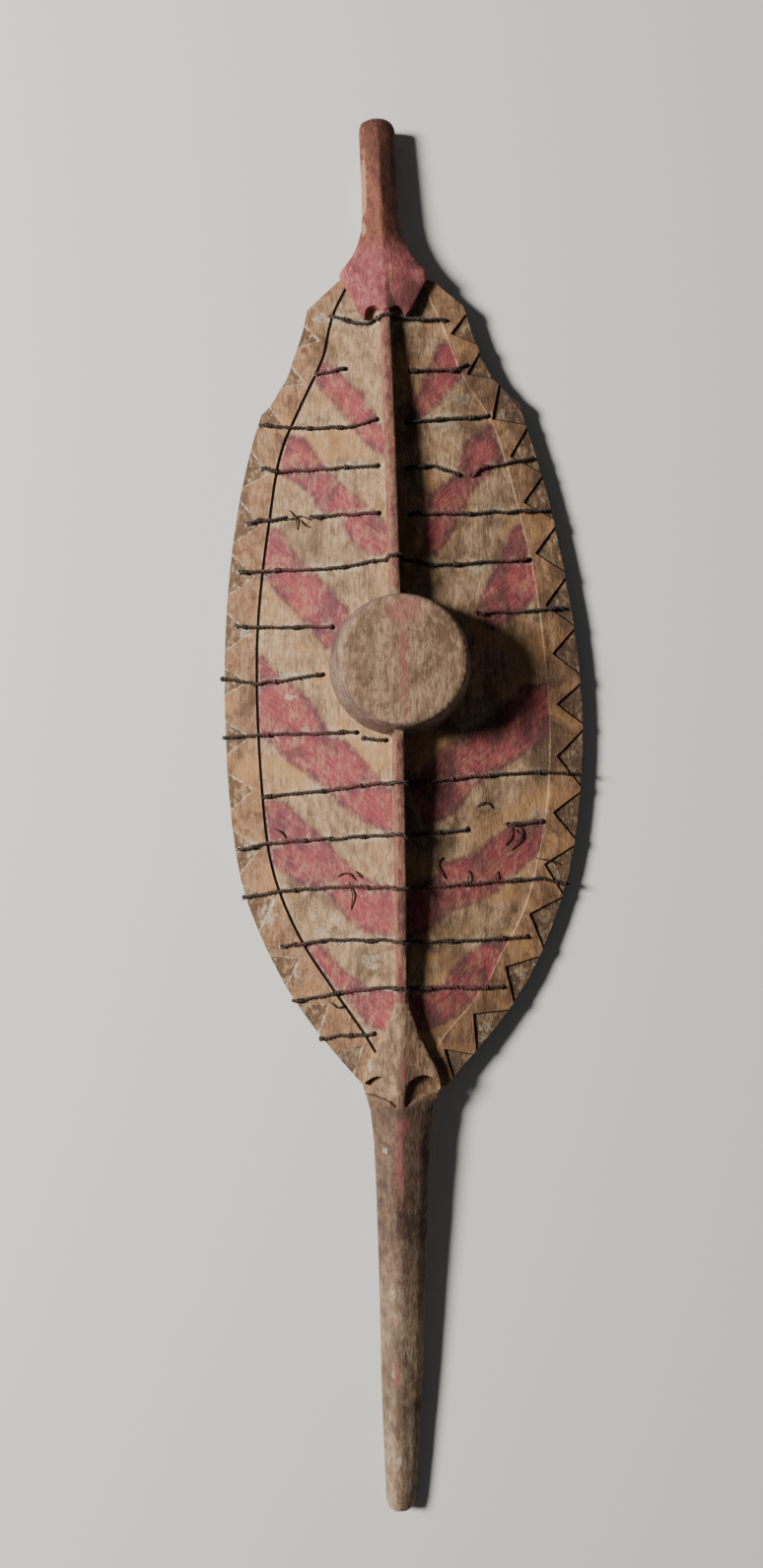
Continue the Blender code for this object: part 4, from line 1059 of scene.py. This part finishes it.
def loose_fibres(material):
    """The stray ends of fibre on the board, each arched a little off the wood."""
    form = bmesh.new()
    for strand in LOOSE_FIBRES:
        flat = np.array(strand) / 1000
        marks = np.linspace(0, len(flat) - 1, 6 * len(flat))
        x = np.interp(marks, range(len(flat)), flat[:, 0])
        y = np.interp(marks, range(len(flat)), flat[:, 1])
        for _ in range(4):
            x[1:-1] = (x[:-2] + 2 * x[1:-1] + x[2:]) / 4
            y[1:-1] = (y[:-2] + 2 * y[1:-1] + y[2:]) / 4
        arch = np.sin(np.linspace(0, math.pi, len(x)))
        line = np.stack([x - SHIFT, y, face_z(x, y) + FIBRE_GAP + FIBRE_ARCH * arch], 1)
        radii = FIBRE_RADIUS * (0.6 + 0.4 * arch)
        tube(form, line, radii, 6)
    mesh = bpy.data.meshes.new("loose_fibres")
    form.to_mesh(mesh)
    form.free()
    set_attribute(mesh, "paint", np.zeros(len(mesh.vertices)))
    mesh.materials.append(material)
    mesh.shade_smooth()
    piece = bpy.data.objects.new("loose_fibres", mesh)
    bpy.context.scene.collection.objects.link(piece)
    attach(piece, "root")


def make_stage():
    shader = Shader("pale_floor")
    shader.surface.inputs["Base Color"].default_value = linear(236, 234, 226)
    shader.surface.inputs["Roughness"].default_value = 0.9
    mesh = bpy.data.meshes.new("floor")
    r = FLOOR_REACH
    mesh.from_pydata([(-r, -r, 0), (r, -r, 0), (r, r, 0), (-r, r, 0)], [], [(0, 1, 2, 3)])
    mesh.materials.append(shader.material)
    floor = bpy.data.objects.new("floor", mesh)
    bpy.context.scene.collection.objects.link(floor)


def make_light():
    scene = bpy.context.scene
    data = bpy.data.lights.new("window", "AREA")
    data.shape = "DISK"
    data.size = LAMP_SIZE
    data.energy = LAMP_POWER
    lamp = bpy.data.objects.new("window", data)
    towards = Vector(LAMP_TOWARDS).normalized()
    lamp.location = towards * LAMP_DISTANCE
    lamp.rotation_euler = (-towards).to_track_quat("-Z", "Y").to_euler()
    scene.collection.objects.link(lamp)
    world = bpy.data.worlds.new("room")
    world.use_nodes = True
    background = world.node_tree.nodes["Background"]
    background.inputs["Color"].default_value = (0.86, 0.9, 1.0, 1.0)
    background.inputs["Strength"].default_value = ROOM_LIGHT
    scene.world = world


def make_camera():
    scene = bpy.context.scene
    data = bpy.data.cameras.new("photo_camera")
    data.sensor_fit = "AUTO"
    data.sensor_width = SENSOR_WIDTH
    data.lens = FOCAL_PIXELS / PHOTO_HEIGHT * SENSOR_WIDTH
    camera = bpy.data.objects.new("photo_camera", data)
    look = Vector(CAMERA_LOOK).normalized()
    right = look.cross(Vector(CAMERA_UP)).normalized()
    up = right.cross(look)
    turn = Matrix((right, up, -look)).transposed().to_4x4()
    x, y, z = CAMERA_PLACE
    turn.translation = Vector((x - SHIFT, y, z))
    camera.matrix_world = turn
    scene.collection.objects.link(camera)
    scene.camera = camera


make_camera()
make_stage()
make_light()
shield_body(wood_material())
cord_finish = cord_material()
for index, (name, left, right, left_end, right_end) in enumerate(LASHINGS):
    lashing(name, lashing_route(left, right, left_end, right_end), cord_finish, random.Random(index + 11))

loose_fibres(cord_finish)
